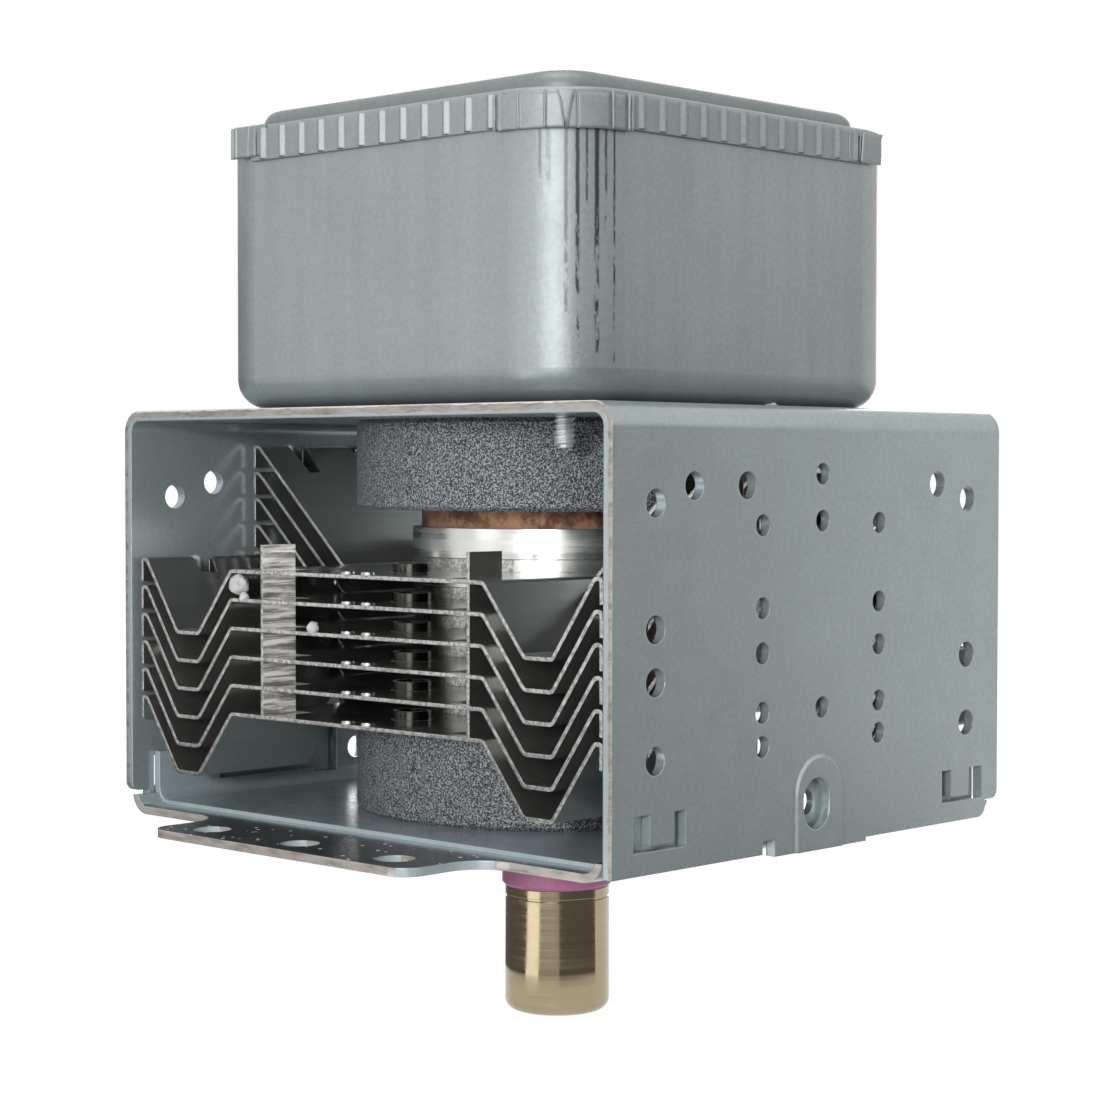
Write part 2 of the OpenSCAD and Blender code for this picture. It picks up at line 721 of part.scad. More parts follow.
module anode_shell() {
    color([0.75, 0.42, 0.26]) ring(anode_r, anode_r - anode_wall, anode_z0, anode_z1);
}

module anode_vanes() {
    bore = anode_r - anode_wall;
    color([0.78, 0.46, 0.3]) for (k = [0 : vane_count - 1]) rotate(360 * k / vane_count)
        intersection() {
            block([vane_tip_r, -vane_t / 2, vane_z0], [bore, vane_t / 2, vane_z1]);
            ring(bore, vane_tip_r, vane_z0 - cut, vane_z1 + cut);
        }
}

module strap_rings() {
    color([0.7, 0.4, 0.25]) for (z = [vane_z0 - strap_h, vane_z1]) for (k = [2, 4]) {
        r = vane_tip_r + k * strap_w;
        ring(r + strap_w, r, z, z + strap_h);
    }
}

// Pole piece drawn tip upward: rim of thickness t on z = 0, tip at height h
module pole_piece(t, h) {
    tip_r = pole_bore_d / 2 + pole_sheet;
    slope = 11;
    rotate_extrude() polygon([
        [pole_bore_d / 2, h], [tip_r, h], [slope + 0.6, t], [pole_rim_d / 2, t],
        [pole_rim_d / 2, 0], [slope - 0.6, 0], [pole_bore_d / 2, h - pole_sheet]]);
}

module upper_pole_piece() {
    color([0.62, 0.33, 0.2]) translate([0, 0, pole_high]) mirror([0, 0, 1])
        pole_piece(upper_pole_t, pole_high - vane_z1 - strap_h - pole_tip_gap);
}

module lower_pole_piece() {
    tip = vane_z0 - strap_h - pole_tip_gap - pole_low;
    way = lead_pass_top - lead_pass_foot;
    color([0.62, 0.33, 0.2]) difference() {
        translate([0, 0, pole_low]) pole_piece(lower_pole_t, tip);
        translate(lead_pass_foot) rotate([0, atan2(way[0], way[2]), 0])
            cylinder(d = antenna_lead_d + 1, h = norm(way));
    }
}

module anode_end_sleeve() {
    color([0.8, 0.8, 0.79]) ring(anode_r + slip + end_sleeve_t, anode_r + slip,
                                 anode_z1 - end_sleeve_h, anode_z1);
}

module filament() {
    steps = 16;
    count = filament_turns * steps;
    r = filament_d / 2;
    path = [for (k = [0 : count])
        [r * cos(360 * k / steps), r * sin(360 * k / steps),
         vane_z0 + filament_wire / 2 + (vane_h - filament_wire) * k / count]];
    color([0.45, 0.44, 0.43]) wire(path, filament_wire, [0, 0, 1], 6);
}

module end_hats() {
    hub_r = filament_d / 2 - filament_wire / 2 - slip;
    color([0.55, 0.54, 0.52]) {
        translate([0, 0, vane_z0 - hat_t]) cylinder(d = hat_d, h = hat_t);
        translate([0, 0, vane_z0]) cylinder(r = hub_r, h = 1);
        ring(hat_d / 2, lead_d / 2 + 0.3, vane_z1, vane_z1 + hat_t);
        ring(hub_r, lead_d / 2 + 0.3, vane_z1 - 1, vane_z1);
    }
}

module cathode_leads() {
    color([0.5, 0.5, 0.5]) {
        translate([0, 0, vane_z0 + 1]) cylinder(d = lead_d, h = lead_top - vane_z0 - 1, $fn = small_fn);
        translate([0, side_lead_y, vane_z1 + hat_t])
            cylinder(d = lead_d, h = lead_top - vane_z1 - hat_t, $fn = small_fn);
    }
}

// Seal cup drawn as a top hat: brim of radius r on z = 0, inturned rim at height h
module seal_cup(brim_r, h, mouth_r) {
    ring(brim_r, cup_bore_r, 0, cup_t);
    ring(cup_r, cup_bore_r, cup_t, h - cup_t);
    ring(cup_r, mouth_r, h - cup_t, h);
}

module stem_seal_cup() {
    color([0.72, 0.72, 0.71]) translate([0, 0, pole_high])
        seal_cup(magnet_id / 2 - 3 * seat, stem_z0 - pole_high, stem_d / 2 - cup_seat_w);
}

module stem_insulator() {
    color([0.93, 0.92, 0.88]) translate([0, 0, stem_z0]) difference() {
        rotate_extrude() polygon([[0, 0], [stem_d / 2, 0], [stem_d / 2, stem_h - 0.8],
                                  [stem_d / 2 - 0.8, stem_h], [0, stem_h]]);
        for (y = [0, side_lead_y]) translate([0, y, -cut])
            cylinder(d = lead_d + 2 * slip, h = stem_h + 2 * cut, $fn = small_fn);
    }
}

module antenna_seal_cup() {
    color([0.72, 0.72, 0.71]) translate([0, 0, pole_low]) mirror([0, 0, 1])
        seal_cup(magnet_id / 2 - 3 * seat, pole_low + insulator_top, insulator_bore / 2);
}

module antenna_insulator() {
    r = insulator_d / 2;
    bevel = 0.5;
    color([0.66, 0.33, 0.5]) translate([0, 0, insulator_z0]) rotate_extrude()
        polygon([[insulator_bore / 2, 0], [r - bevel, 0], [r, bevel], [r, insulator_h - bevel],
                 [r - bevel, insulator_h], [insulator_bore / 2, insulator_h]]);
}

// Outline of the cap's outer or inner skin, from the closed end up
module cap_skin_2d(r, h, edge_r) {
    translate([0, edge_r]) square([r, h - edge_r]);
    square([r - edge_r, edge_r + cut]);
    translate([r - edge_r, edge_r]) circle(edge_r);
}

module antenna_cap() {
    r = antenna_d / 2;
    color([0.62, 0.53, 0.36]) translate([0, 0, insulator_z0 - antenna_l]) difference() {
        rotate_extrude() cap_skin_2d(r, antenna_l, antenna_edge_r);
        translate([0, 0, antenna_t]) rotate_extrude()
            cap_skin_2d(r - antenna_t, antenna_l, antenna_edge_r - antenna_t);
        translate([0, 0, antenna_l - 1.5]) ring(r + cut, r - 0.15, 0, 0.35);
    }
}

module exhaust_tube() {
    flange_t = 0.6;
    pinch_h = exhaust_pinch_h;
    pinch_t = 0.9;
    r = exhaust_d / 2;
    tube_end = insulator_z0 - exhaust_l;
    color([0.76, 0.45, 0.28]) {
        ring(antenna_d / 2 - antenna_t - seat, r - 0.6, insulator_z0 - flange_t, insulator_z0);
        ring(r, r - 0.6, tube_end + pinch_h, insulator_z0 - flange_t);
        translate([-r, 0, tube_end]) rotate([90, 0, 90]) linear_extrude(2 * r)
            polygon([[-pinch_t / 4, 0], [pinch_t / 4, 0], [pinch_t / 2, 1.2], [r * 0.8, pinch_h],
                     [-r * 0.8, pinch_h], [-pinch_t / 2, 1.2]]);
    }
}

module antenna_lead() {
    tip = insulator_z0 - exhaust_l + exhaust_pinch_h;
    path = softened([[antenna_lead_x, 0, vane_z0], lead_pass_top, lead_pass_foot,
                     [0.8, 0, 2.5], [0, 0, -1], [0, 0, tip]], 2);
    color([0.74, 0.44, 0.28]) wire(path, antenna_lead_d, [0, 1, 0]);
}

module rf_gasket() {
    w = (gasket_od - gasket_id) / 2;
    edge = 1.4;
    color([0.6, 0.61, 0.6]) translate([0, 0, plate_z - gasket_h]) rotate_extrude()
        translate([gasket_id / 2, 0]) {
            translate([edge, 0]) square([w - 2 * edge, gasket_h]);
            translate([0, edge]) square([w, gasket_h - edge]);
            for (x = [edge, w - edge]) translate([x, edge]) circle(edge);
        }
}

module box_shim() {
    half = box_half - box_floor_r - 0.6;
    color([0.8, 0.81, 0.82]) difference() {
        block([-half, -half, yoke_top], [half, half, box_z0]);
        translate([0, 0, yoke_top - cut]) cylinder(r = stem_hole_r, h = shim_t + 2 * cut);
        for (s = [-1, 1]) translate([s * screw_at, -s * screw_at, yoke_top - cut])
            cylinder(d = screw_d + 4 * slip, h = shim_t + 2 * cut);
    }
}

// Edge profile of the box: upright side with a round foot, from z0 to z1
module box_edge_2d(r, foot_r, z0, z1) {
    translate([0, z0 + foot_r]) square([r, z1 - z0 - foot_r]);
    translate([0, z0]) square([r - foot_r, foot_r]);
    translate([r - foot_r, z0 + foot_r]) intersection() {
        circle(foot_r);
        translate([0, -foot_r]) square(foot_r);
    }
}

module filter_box() {
    r = box_corner_r;
    floor_z = box_z0 + box_t;
    color([0.6, 0.65, 0.66]) difference() {
        drawn_square(box_half, r, box_z0, box_z1) box_edge_2d(r, box_floor_r, box_z0, box_z1);
        drawn_square(box_half - box_t, r - box_t, floor_z, box_z1 + cut)
            box_edge_2d(r - box_t, box_floor_r - box_t, floor_z, box_z1 + cut);
        translate([0, 0, box_z0 - cut]) cylinder(r = stem_hole_r, h = box_t + 2 * cut);
        for (s = [-1, 1]) translate([s * screw_at, -s * screw_at, box_z0 - cut])
            cylinder(d = screw_d + 4 * slip, h = box_t + 2 * cut);
        translate([-box_half - cut, 0, cap_z]) rotate([90, 0, 90]) linear_extrude(box_t + 2 * cut)
            capacitor_2d(seat);
        for (sy = [-1, 1]) for (sz = [-1, 1])
            translate([-box_half - cut, sy * rivet_y(), cap_z + sz * rivet_z()])
            rotate([0, 90, 0]) cylinder(d = rivet_d() + 2 * slip, h = box_t + 2 * cut, $fn = small_fn);
    }
}

// Edge profile of the lid's inner skin, or grown by g into its outer skin
module lid_edge_2d(g) {
    r = box_corner_r + lid_gap + g;
    rim = box_z1 + g;
    foot = box_z1 + lid_t - skirt_h;
    edge_r = g > 0 ? rim_r : lid_gap / 2;
    top_r = plateau_r - lid_t + g;
    step = r - ledge_w;
    translate([0, foot]) square([r, rim - edge_r - foot]);
    translate([0, rim - edge_r]) square([r - edge_r, edge_r]);
    translate([r - edge_r, rim - edge_r]) intersection() {
        circle(edge_r);
        square(edge_r);
    }
    translate([0, rim]) square([step, plateau_h - top_r]);
    translate([0, rim + plateau_h - top_r]) square([step - top_r, top_r]);
    translate([step - top_r, rim + plateau_h - top_r]) intersection() {
        circle(top_r);
        square(top_r);
    }
}

// Crimp rib on the skirt, drawn on the side that faces +X
module crimp_rib() {
    x = box_half + lid_grow;
    z1 = box_z1 + lid_t - 0.5;
    translate([0, 0, z1 - skirt_h + 0.7]) linear_extrude(skirt_h - 0.7) polygon([
        [x - lid_t / 2, -rib_w / 2], [x, -rib_w / 2], [x + rib_rise, -rib_crest / 2],
        [x + rib_rise, rib_crest / 2], [x, rib_w / 2], [x - lid_t / 2, rib_w / 2]]);
}

module filter_lid() {
    half = box_half + lid_grow;
    r = box_corner_r + lid_grow;
    patch_z = box_z1 + lid_t - skirt_h - 0.3;
    foot = box_z1 + lid_t - skirt_h;
    color([0.62, 0.67, 0.68]) {
        difference() {
            drawn_square(half, r, foot, box_z1 + lid_t + plateau_h) lid_edge_2d(lid_t);
            drawn_square(half - lid_t, r - lid_t, foot, box_z1 + plateau_h) lid_edge_2d(0);
            block([-half, -half, foot - cut], [half, half, foot + 0.01]);
            for (q = [0 : 2]) rotate(90 * q)
                block([half - r, half - r, foot - cut], [half + cut, half + cut, foot + corner_lift]);
        }
        for (q = [0 : 3]) rotate(90 * q) for (k = [0 : rib_count - 1])
            translate([0, (k - (rib_count - 1) / 2) * rib_pitch, 0]) crimp_rib();
        rotate(-90) translate([half - r, half - r, patch_z]) rotate_extrude(angle = 90)
            translate([r - lid_t / 2, 0]) square([lid_t / 2 + corner_rise, skirt_h - 0.2]);
    }
}

module box_screws() {
    head_h = 1.9;
    recess = screw_d * 0.6;
    floor_z = box_z0 + box_t;
    color([0.6, 0.62, 0.62]) for (s = [-1, 1]) translate([s * screw_at, -s * screw_at, 0]) {
        translate([0, 0, top_under - screw_out]) rotate_extrude($fn = small_fn)
            polygon([[0, 0], [screw_d / 2 - 0.4, 0], [screw_d / 2, 0.5],
                     [screw_d / 2, floor_z - top_under + screw_out],
                     [0, floor_z - top_under + screw_out]]);
        translate([0, 0, floor_z]) difference() {
            cylinder(d = 2 * screw_d, h = head_h, $fn = small_fn);
            for (a = [0, 90]) rotate(a)
                block([-recess, -0.35, head_h - 1], [recess, 0.35, head_h + cut]);
        }
    }
}

// Ends of the choke coils along X, and the plane where they meet the capacitor's pins
function choke_x0() = choke_l * 0.4;
function choke_x1() = choke_x0() - choke_l;
function pin_x() = -box_half + box_t + cap_in + 3.6;

module choke_coils() {
    steps = 12;
    count = choke_turns * steps;
    r = choke_d / 2;
    low = cap_z - r;
    color([0.72, 0.4, 0.2]) for (s = [-1, 1]) {
        lead_y = s > 0 ? side_lead_y : 0;
        start = [[0, lead_y, lead_top], [0, lead_y, lead_top + 0.6],
                 [choke_x0() - 3, s * (choke_y - 3), low - 1],
                 [choke_x0() - 0.8, s * choke_y - 1.5, low - 0.2]];
        coil = [for (k = [0 : count])
            [choke_x0() - choke_l * k / count,
             s * choke_y + r * sin(360 * k / steps), cap_z - r * cos(360 * k / steps)]];
        end = [[choke_x1() - 1, s * choke_y + 1.6, low + 0.3],
               [choke_x1() - 3, s * terminal_y + s * 2, cap_z - 2],
               [pin_x() + 1.4, s * terminal_y, cap_z], [pin_x(), s * terminal_y, cap_z]];
        wire(concat(start, coil, end), choke_wire, [1, 0, 0]);
    }
}

module choke_cores() {
    r = choke_d / 2 - choke_wire / 2 - 0.2;
    color([0.25, 0.25, 0.26]) for (s = [-1, 1]) translate([choke_x1() - 0.5, s * choke_y, cap_z])
        rotate([0, 90, 0]) cylinder(r = r, h = choke_l + 1, $fn = small_fn);
}

// Places of the flange's rivets, from the capacitor's middle
function rivet_d() = 2.4;
function rivet_y() = cap_w / 2 + cap_margin / 2 - 0.2;
function rivet_z() = cap_h / 2;

// Outline of the capacitor body, round at both ends, grown by g
module capacitor_2d(g) {
    r = cap_h / 2;
    for (s = [-1, 1]) translate([s * (cap_w / 2 - r), 0]) circle(r + g);
    square([cap_w - 2 * r, cap_h + 2 * g], center = true);
}

module capacitor_flange() {
    half_y = cap_w / 2 + cap_margin;
    half_z = cap_h / 2 + cap_margin / 2;
    color([0.66, 0.68, 0.68]) translate([-box_half - cap_flange_t, 0, cap_z]) rotate([90, 0, 90])
        linear_extrude(cap_flange_t) difference() {
            square([2 * half_y, 2 * half_z], center = true);
            capacitor_2d(seat);
            for (sy = [-1, 1]) for (sz = [-1, 1]) translate([sy * rivet_y(), sz * rivet_z()])
                circle(d = rivet_d() + 2 * slip, $fn = small_fn);
        }
}

module capacitor_body() {
    x0 = -box_half - cap_flange_t - cap_out;
    x1 = -box_half + box_t + cap_in;
    slot_y = blade_t / 2 + slip;
    slot_z = blade_w / 2 + slip;
    color([0.16, 0.16, 0.17]) difference() {
        translate([x0, 0, cap_z]) rotate([90, 0, 90]) linear_extrude(x1 - x0) capacitor_2d(0);
        for (s = [-1, 1]) translate([0, s * terminal_y, cap_z]) {
            block([x0 - cut, -slot_y, -slot_z], [blade_root(), slot_y, slot_z]);
            translate([x0, 0, 0]) rotate([0, 90, 0])
                cylinder(r = pin_r() + slip, h = x1 - x0 + cut, $fn = small_fn);
        }
    }
}

function pin_r() = 0.9;
function blade_root() = -box_half - cap_flange_t - cap_out + 3;

module capacitor_rivets() {
    grip0 = -box_half - cap_flange_t;
    grip1 = -box_half + box_t;
    color([0.7, 0.7, 0.69]) for (sy = [-1, 1]) for (sz = [-1, 1])
        translate([0, sy * rivet_y(), cap_z + sz * rivet_z()]) rotate([0, 90, 0]) {
            translate([0, 0, grip0]) cylinder(d = rivet_d(), h = grip1 - grip0, $fn = small_fn);
            translate([0, 0, grip0 - 0.6]) cylinder(d = rivet_d() + 1.2, h = 0.6, $fn = small_fn);
            translate([0, 0, grip1]) cylinder(d = rivet_d() + 1.2, h = 0.5, $fn = small_fn);
        }
}

module capacitor_terminals() {
    root = blade_root();
    tip = -box_half - cap_flange_t - cap_out - blade_l;
    color([0.75, 0.74, 0.7]) for (s = [-1, 1]) translate([0, s * terminal_y, cap_z]) {
        difference() {
            block([tip, -blade_t / 2, -blade_w / 2], [root, blade_t / 2, blade_w / 2]);
            translate([tip + 3, 0, 0]) rotate([90, 0, 0])
                cylinder(d = 1.7, h = 2 * blade_t, center = true, $fn = small_fn);
        }
        translate([root, 0, 0]) rotate([0, 90, 0])
            cylinder(r = pin_r(), h = pin_x() - root, $fn = small_fn);
    }
}

yoke_shell();
base_plate();
upper_magnet();
lower_magnet();
cooling_fin(1);  // cooling_fin_1
cooling_fin(2);  // cooling_fin_2
cooling_fin(3);  // cooling_fin_3
cooling_fin(4);  // cooling_fin_4
cooling_fin(5);  // cooling_fin_5
cooling_fin(6);  // cooling_fin_6
anode_shell();
anode_vanes();
strap_rings();
upper_pole_piece();
lower_pole_piece();
anode_end_sleeve();
filament();
end_hats();
cathode_leads();
stem_seal_cup();
stem_insulator();
antenna_seal_cup();
antenna_insulator();
antenna_cap();
exhaust_tube();
antenna_lead();
rf_gasket();
box_shim();
filter_box();
filter_lid();
box_screws();
choke_coils();
choke_cores();
capacitor_flange();
capacitor_body();
capacitor_rivets();
capacitor_terminals();
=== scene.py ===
"""Looks of an oven magnetron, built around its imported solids."""

import math
import random

import bmesh
import bpy
from bpy.props import FloatProperty, FloatVectorProperty, IntProperty, PointerProperty
from bpy.types import Operator, Panel, PropertyGroup
from mathutils import Matrix, Vector, noise


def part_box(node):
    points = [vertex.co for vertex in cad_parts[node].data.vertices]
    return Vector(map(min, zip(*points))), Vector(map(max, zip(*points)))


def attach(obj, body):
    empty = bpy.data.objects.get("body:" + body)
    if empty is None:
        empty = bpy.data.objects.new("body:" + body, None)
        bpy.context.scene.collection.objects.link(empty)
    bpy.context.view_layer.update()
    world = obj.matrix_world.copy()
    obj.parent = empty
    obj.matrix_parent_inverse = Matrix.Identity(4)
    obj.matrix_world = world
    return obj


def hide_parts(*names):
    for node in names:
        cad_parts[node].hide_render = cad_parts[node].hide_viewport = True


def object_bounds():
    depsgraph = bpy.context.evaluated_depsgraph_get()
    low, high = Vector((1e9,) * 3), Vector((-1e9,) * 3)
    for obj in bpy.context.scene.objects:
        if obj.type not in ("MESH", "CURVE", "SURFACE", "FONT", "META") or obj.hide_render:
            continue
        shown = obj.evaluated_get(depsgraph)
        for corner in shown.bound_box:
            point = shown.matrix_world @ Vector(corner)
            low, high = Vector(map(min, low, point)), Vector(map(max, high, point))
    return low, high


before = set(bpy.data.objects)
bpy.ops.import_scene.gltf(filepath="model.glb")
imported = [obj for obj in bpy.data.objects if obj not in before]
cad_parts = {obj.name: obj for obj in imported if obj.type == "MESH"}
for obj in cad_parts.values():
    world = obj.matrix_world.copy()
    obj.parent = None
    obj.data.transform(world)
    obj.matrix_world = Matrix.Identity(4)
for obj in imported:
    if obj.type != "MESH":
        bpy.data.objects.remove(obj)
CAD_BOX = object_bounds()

bl_info = {
    "name": "Magnetron looks",
    "version": (1, 0, 0),
    "blender": (4, 5, 0),
    "location": "View3D > Sidebar > Magnetron",
    "description": "Finishes, small pieces and a stage for an oven magnetron",
    "category": "Object",
}

MM = 0.001
BODY = "root"
FINS = [f"cooling_fin_{i}" for i in range(1, 7)]

# Radius of the filter box's upright corners, and of the lid's skirt round them
CORNER_R = 10.0 * MM
SKIRT_R = CORNER_R + 0.55 * MM


def colour(name, description, default):
    """A colour setting."""
    return FloatVectorProperty(name=name, description=description, default=default,
                               subtype="COLOR", size=3, min=0.0, max=1.0)


def length(name, description, default):
    """A length setting in metres."""
    return FloatProperty(name=name, description=description, default=default,
                         unit="LENGTH", subtype="DISTANCE", min=0.0, precision=5)


class StageSettings(PropertyGroup):
    """Camera, lamps and floor."""
    camera_at: FloatVectorProperty(
        name="Camera place", description="Where the camera stands", size=3,
        default=(0.23805, -0.25023, 0.04812), subtype="TRANSLATION", unit="LENGTH")
    yaw: FloatProperty(name="Yaw", description="Turn of the camera from the air path",
                       default=math.radians(43.7455), subtype="ANGLE")
    pitch: FloatProperty(name="Pitch", description="How far the camera looks down",
                         default=math.radians(1.872), subtype="ANGLE")
    roll: FloatProperty(name="Roll", description="Tilt of the camera about its view",
                        default=math.radians(0.063), subtype="ANGLE")
    lens: FloatProperty(name="Lens", description="Focal length on a 36 mm sensor",
                        default=81.674, subtype="DISTANCE_CAMERA")
    floor_half: length("Floor size", "Half the side of the floor", 3.0)
    floor_white: colour("Floor", "Colour of the floor", (0.9, 0.9, 0.9))
    floor_glow: FloatProperty(name="Floor glow", description="Brightness of the floor's white glow",
                              default=1.09, min=0.0, max=2.0)
    glow_share: FloatProperty(name="Glow share", description="Share of the glow in what is seen of the floor",
                              default=0.86, min=0.0, max=1.0, subtype="FACTOR")
    lamp_target: FloatVectorProperty(
        name="Lamp target", description="Where the lamps point", size=3,
        default=(0.0, 0.0, 0.035), subtype="TRANSLATION", unit="LENGTH")
    room_light: FloatProperty(name="Room light", description="Soft light from all round",
                              default=0.38, min=0.0, max=2.0)
    key_power: FloatProperty(name="Key lamp", description="Power of the soft lamp on the left",
                             default=2.2, subtype="POWER")
    flash_power: FloatProperty(name="Flash", description="Power of the small lamp beside the camera",
                               default=2.4, subtype="POWER")
    top_power: FloatProperty(name="Top lamp", description="Power of the lamp overhead",
                             default=1.8, subtype="POWER")
    rear_power: FloatProperty(name="Rear lamp", description="Power of the soft lamp behind",
                              default=2.0, subtype="POWER")
    card_lift: length("Card lift", "Height of the floor cards over the floor", 0.5 * MM)
    card_near: length("Card start", "Distance from the axis at which floor cards begin", 0.03)
    card_step: length("Right card start", "Distance from the axis at which the right card begins", 0.12)
    card_fold: length("Card fold", "Distance from the axis at which floor cards end", 0.4)
    card_reach: length("Card distance", "Distance from the axis of the upright cards", 0.95)
    card_high: length("Card height", "Height of the dark upright cards", 0.22)
    lit_high: length("Lit card height", "Height of the lit upright card", 0.12)
    dark_card: FloatProperty(name="Dark cards", description="Brightness of the dark cards",
                             default=0.08, min=0.0, max=1.0)
    grey_card: FloatProperty(name="Grey card", description="Brightness of the grey card",
                             default=0.5, min=0.0, max=1.0)
    white_card: FloatProperty(name="White card", description="Brightness of the lit white card",
                              default=2.0, min=0.0, max=3.0)


class FinishSettings(PropertyGroup):
    """Colours of the finishes."""
    zinc: colour("Zinc", "Zinc plating on the yoke", (0.348, 0.398, 0.407))
    plate: colour("Base plate", "Zinc plating on the base plate", (0.36, 0.425, 0.445))
    box: colour("Filter box", "Plating on the drawn box", (0.302, 0.335, 0.336))
    lid: colour("Lid", "Plating on the crimped lid", (0.285, 0.314, 0.314))
    sheared: colour("Sheared edge", "Bright metal on cut edges", (0.37, 0.35, 0.325))
    rust: colour("Edge stain", "Brown stain on cut edges", (0.215, 0.195, 0.165))
    # Painted highlight: the edge rim colour is a bright line along the yoke's outer edge, in place of light
    # caught by its rounded edge
    rim: colour("Edge rim", "Bright line along the yoke's outer edge", (0.66, 0.65, 0.63))
    worn: colour("Worn flange", "Dull metal on the front flange", (0.17, 0.185, 0.19))
    dust: colour("Dust", "Specks on the front flange", (0.95, 0.95, 0.94))
    score: colour("Score marks", "Torn plating on the box's near corner", (0.05, 0.054, 0.06))
    foil: colour("Foil", "Foil shim under the box", (0.78, 0.79, 0.80))
    torn_foil: colour("Torn foil", "Torn edge of the foil", (0.86, 0.87, 0.88))
    fin: colour("Fin", "Rolled aluminium", (0.68, 0.68, 0.66))
    fin_cut: colour("Fin edge", "Cut edge of the fins", (0.60, 0.60, 0.585))
    fin_nick: colour("Fin nicks", "Dark nicks in the fins' cut edge", (0.30, 0.29, 0.28))
    # The pale tab colour is a painted highlight: a pale diffuse tone in place of the light that the fins'
    # tabs mirror
    tab_highlight: colour("Tab", "Scraped metal on the fins' tabs", (0.92, 0.90, 0.87))
    tab_dark: colour("Tab streaks", "Dark streaks on the fins' tabs", (0.20, 0.19, 0.18))
    # The eyelet collar and lip colours are painted shade and painted highlight on the fins' own aluminium
    collar_shade: colour("Eyelet collar", "Upright wall of the fins' eyelets", (0.05, 0.048, 0.042))
    lip_highlight: colour("Eyelet lip", "Bright lip of the fins' eyelets", (0.95, 0.95, 0.93))
    fleck: colour("Flecks", "Crumbs stuck on the fins", (0.40, 0.395, 0.40))
    screw: colour("Screws", "Bright plating on the screws", (0.62, 0.65, 0.65))
    ferrite_dark: colour("Ferrite grain", "Dark grains of the magnets", (0.012, 0.013, 0.015))
    ferrite_pale: colour("Ferrite glint", "Pale grains of the magnets", (0.28, 0.30, 0.32))
    copper: colour("Copper", "Bare copper", (0.72, 0.33, 0.18))
    band: colour("Plated rim", "Heat-stained copper plating", (0.37, 0.205, 0.12))
    burnt: colour("Burnt plating", "Dark stain on the copper plating", (0.10, 0.05, 0.03))
    nickel: colour("Nickel", "Bright plated steel", (0.74, 0.74, 0.72))
    tungsten: colour("Tungsten", "Bare refractory metal", (0.26, 0.25, 0.25))
    white_ceramic: colour("White ceramic", "Stem insulator", (0.86, 0.84, 0.78))
    pink_ceramic: colour("Pink ceramic", "Antenna insulator", (0.40, 0.135, 0.26))
    antenna: colour("Antenna cap", "Tarnished gold-brown plating", (0.39, 0.33, 0.215))
    mesh: colour("Gasket", "Woven wire", (0.45, 0.46, 0.46))
    plastic: colour("Capacitor", "Black moulding", (0.02, 0.02, 0.022))
    tin: colour("Terminals", "Tinned brass", (0.66, 0.64, 0.58))
    enamel: colour("Coil wire", "Enamelled copper", (0.42, 0.13, 0.04))


class PieceSettings(PropertyGroup):
    """Sizes and places of the small pieces and marks."""
    yoke_bend: length("Yoke bend", "Outer radius of the yoke's bends", 3.0 * MM)
    cut_depth: length("Cut depth", "How far in from the yoke's ends a face is a cut edge", 0.3 * MM)
    bare_least: length("Bare edge, least", "Least width of bare metal on the yoke's edge", 0.85 * MM)
    bare_most: length("Bare edge, most", "Greatest width of bare metal on the yoke's edge", 1.1 * MM)
    # Widths of the painted highlight line along the yoke's edge
    highlight_least: length("Rim, least", "Least width of the bright rim on the yoke's edge", 0.08 * MM)
    highlight_most: length("Rim, most", "Greatest width of the bright rim on the yoke's edge", 0.26 * MM)
    flange_y: length("Flange", "Distance from the axis at which the worn flange begins", 36.5 * MM)
    flange_fade: length("Flange fade", "Length over which the wear sets in", 3.0 * MM)
    plateau_lift: length("Plateau", "Height of the lid's plateau edge over the box", 0.6 * MM)
    rim_lift: length("Flap top", "Height of the flaps' top over the box", 0.45 * MM)
    fold_rise: length("Lid fold", "How far a fold stands out of the lid's corner", 0.34 * MM)
    flap_lift: length("Flap lift", "How far the lid's flaps end above its foot", 0.9 * MM)
    tab_x: length("Fin tab", "Distance of the fins' tabs from the axis", 19.65 * MM)
    tab_depth: length("Fin tab depth", "Half the depth in which a face is part of a tab", 0.3 * MM)
    eyelet_y: length("Eyelet", "Distance of the fins' eyelets from the axis", 27.6 * MM)
    eyelet_r: length("Eyelet radius", "Radius round an eyelet that takes its finish", 2.75 * MM)
    thread_pitch: length("Thread pitch", "Rise of the screw thread in one turn", 0.7 * MM)
    thread_depth: length("Thread depth", "Depth of the screw thread", 0.28 * MM)
    shank_d: length("Screw shank", "Diameter over the screw thread", 2.6 * MM)
    head_d: length("Screw head", "Diameter of the screw heads", 5.2 * MM)
    head_h: length("Screw head height", "Height of the screw heads", 1.9 * MM)
    fleck: length("Fleck", "Size of the larger fleck stuck on the fins", 2.6 * MM)
    fleck_sink: length("Fleck seat", "How far a fleck's middle lies behind the fins' edge", 0.5 * MM)
    burr: length("Foil burr", "Height of the torn foil at the box", 1.1 * MM)
    burr_x: length("Foil burr across", "Distance of the torn foil from the axis, across", 31.2 * MM)
    burr_y: length("Foil burr along", "Distance of the torn foil from the axis, along the air path", 6.6 * MM)
    burr_long: length("Foil burr length", "Length of the torn foil", 2.4 * MM)
    burr_sink: length("Foil burr seat", "How far the torn foil starts below the shim's top", 0.1 * MM)
    seed: IntProperty(name="Seed", description="Start of the random draws", default=7)


def settings():
    """The magnetron's settings in this scene."""
    return bpy.context.scene.magnetron


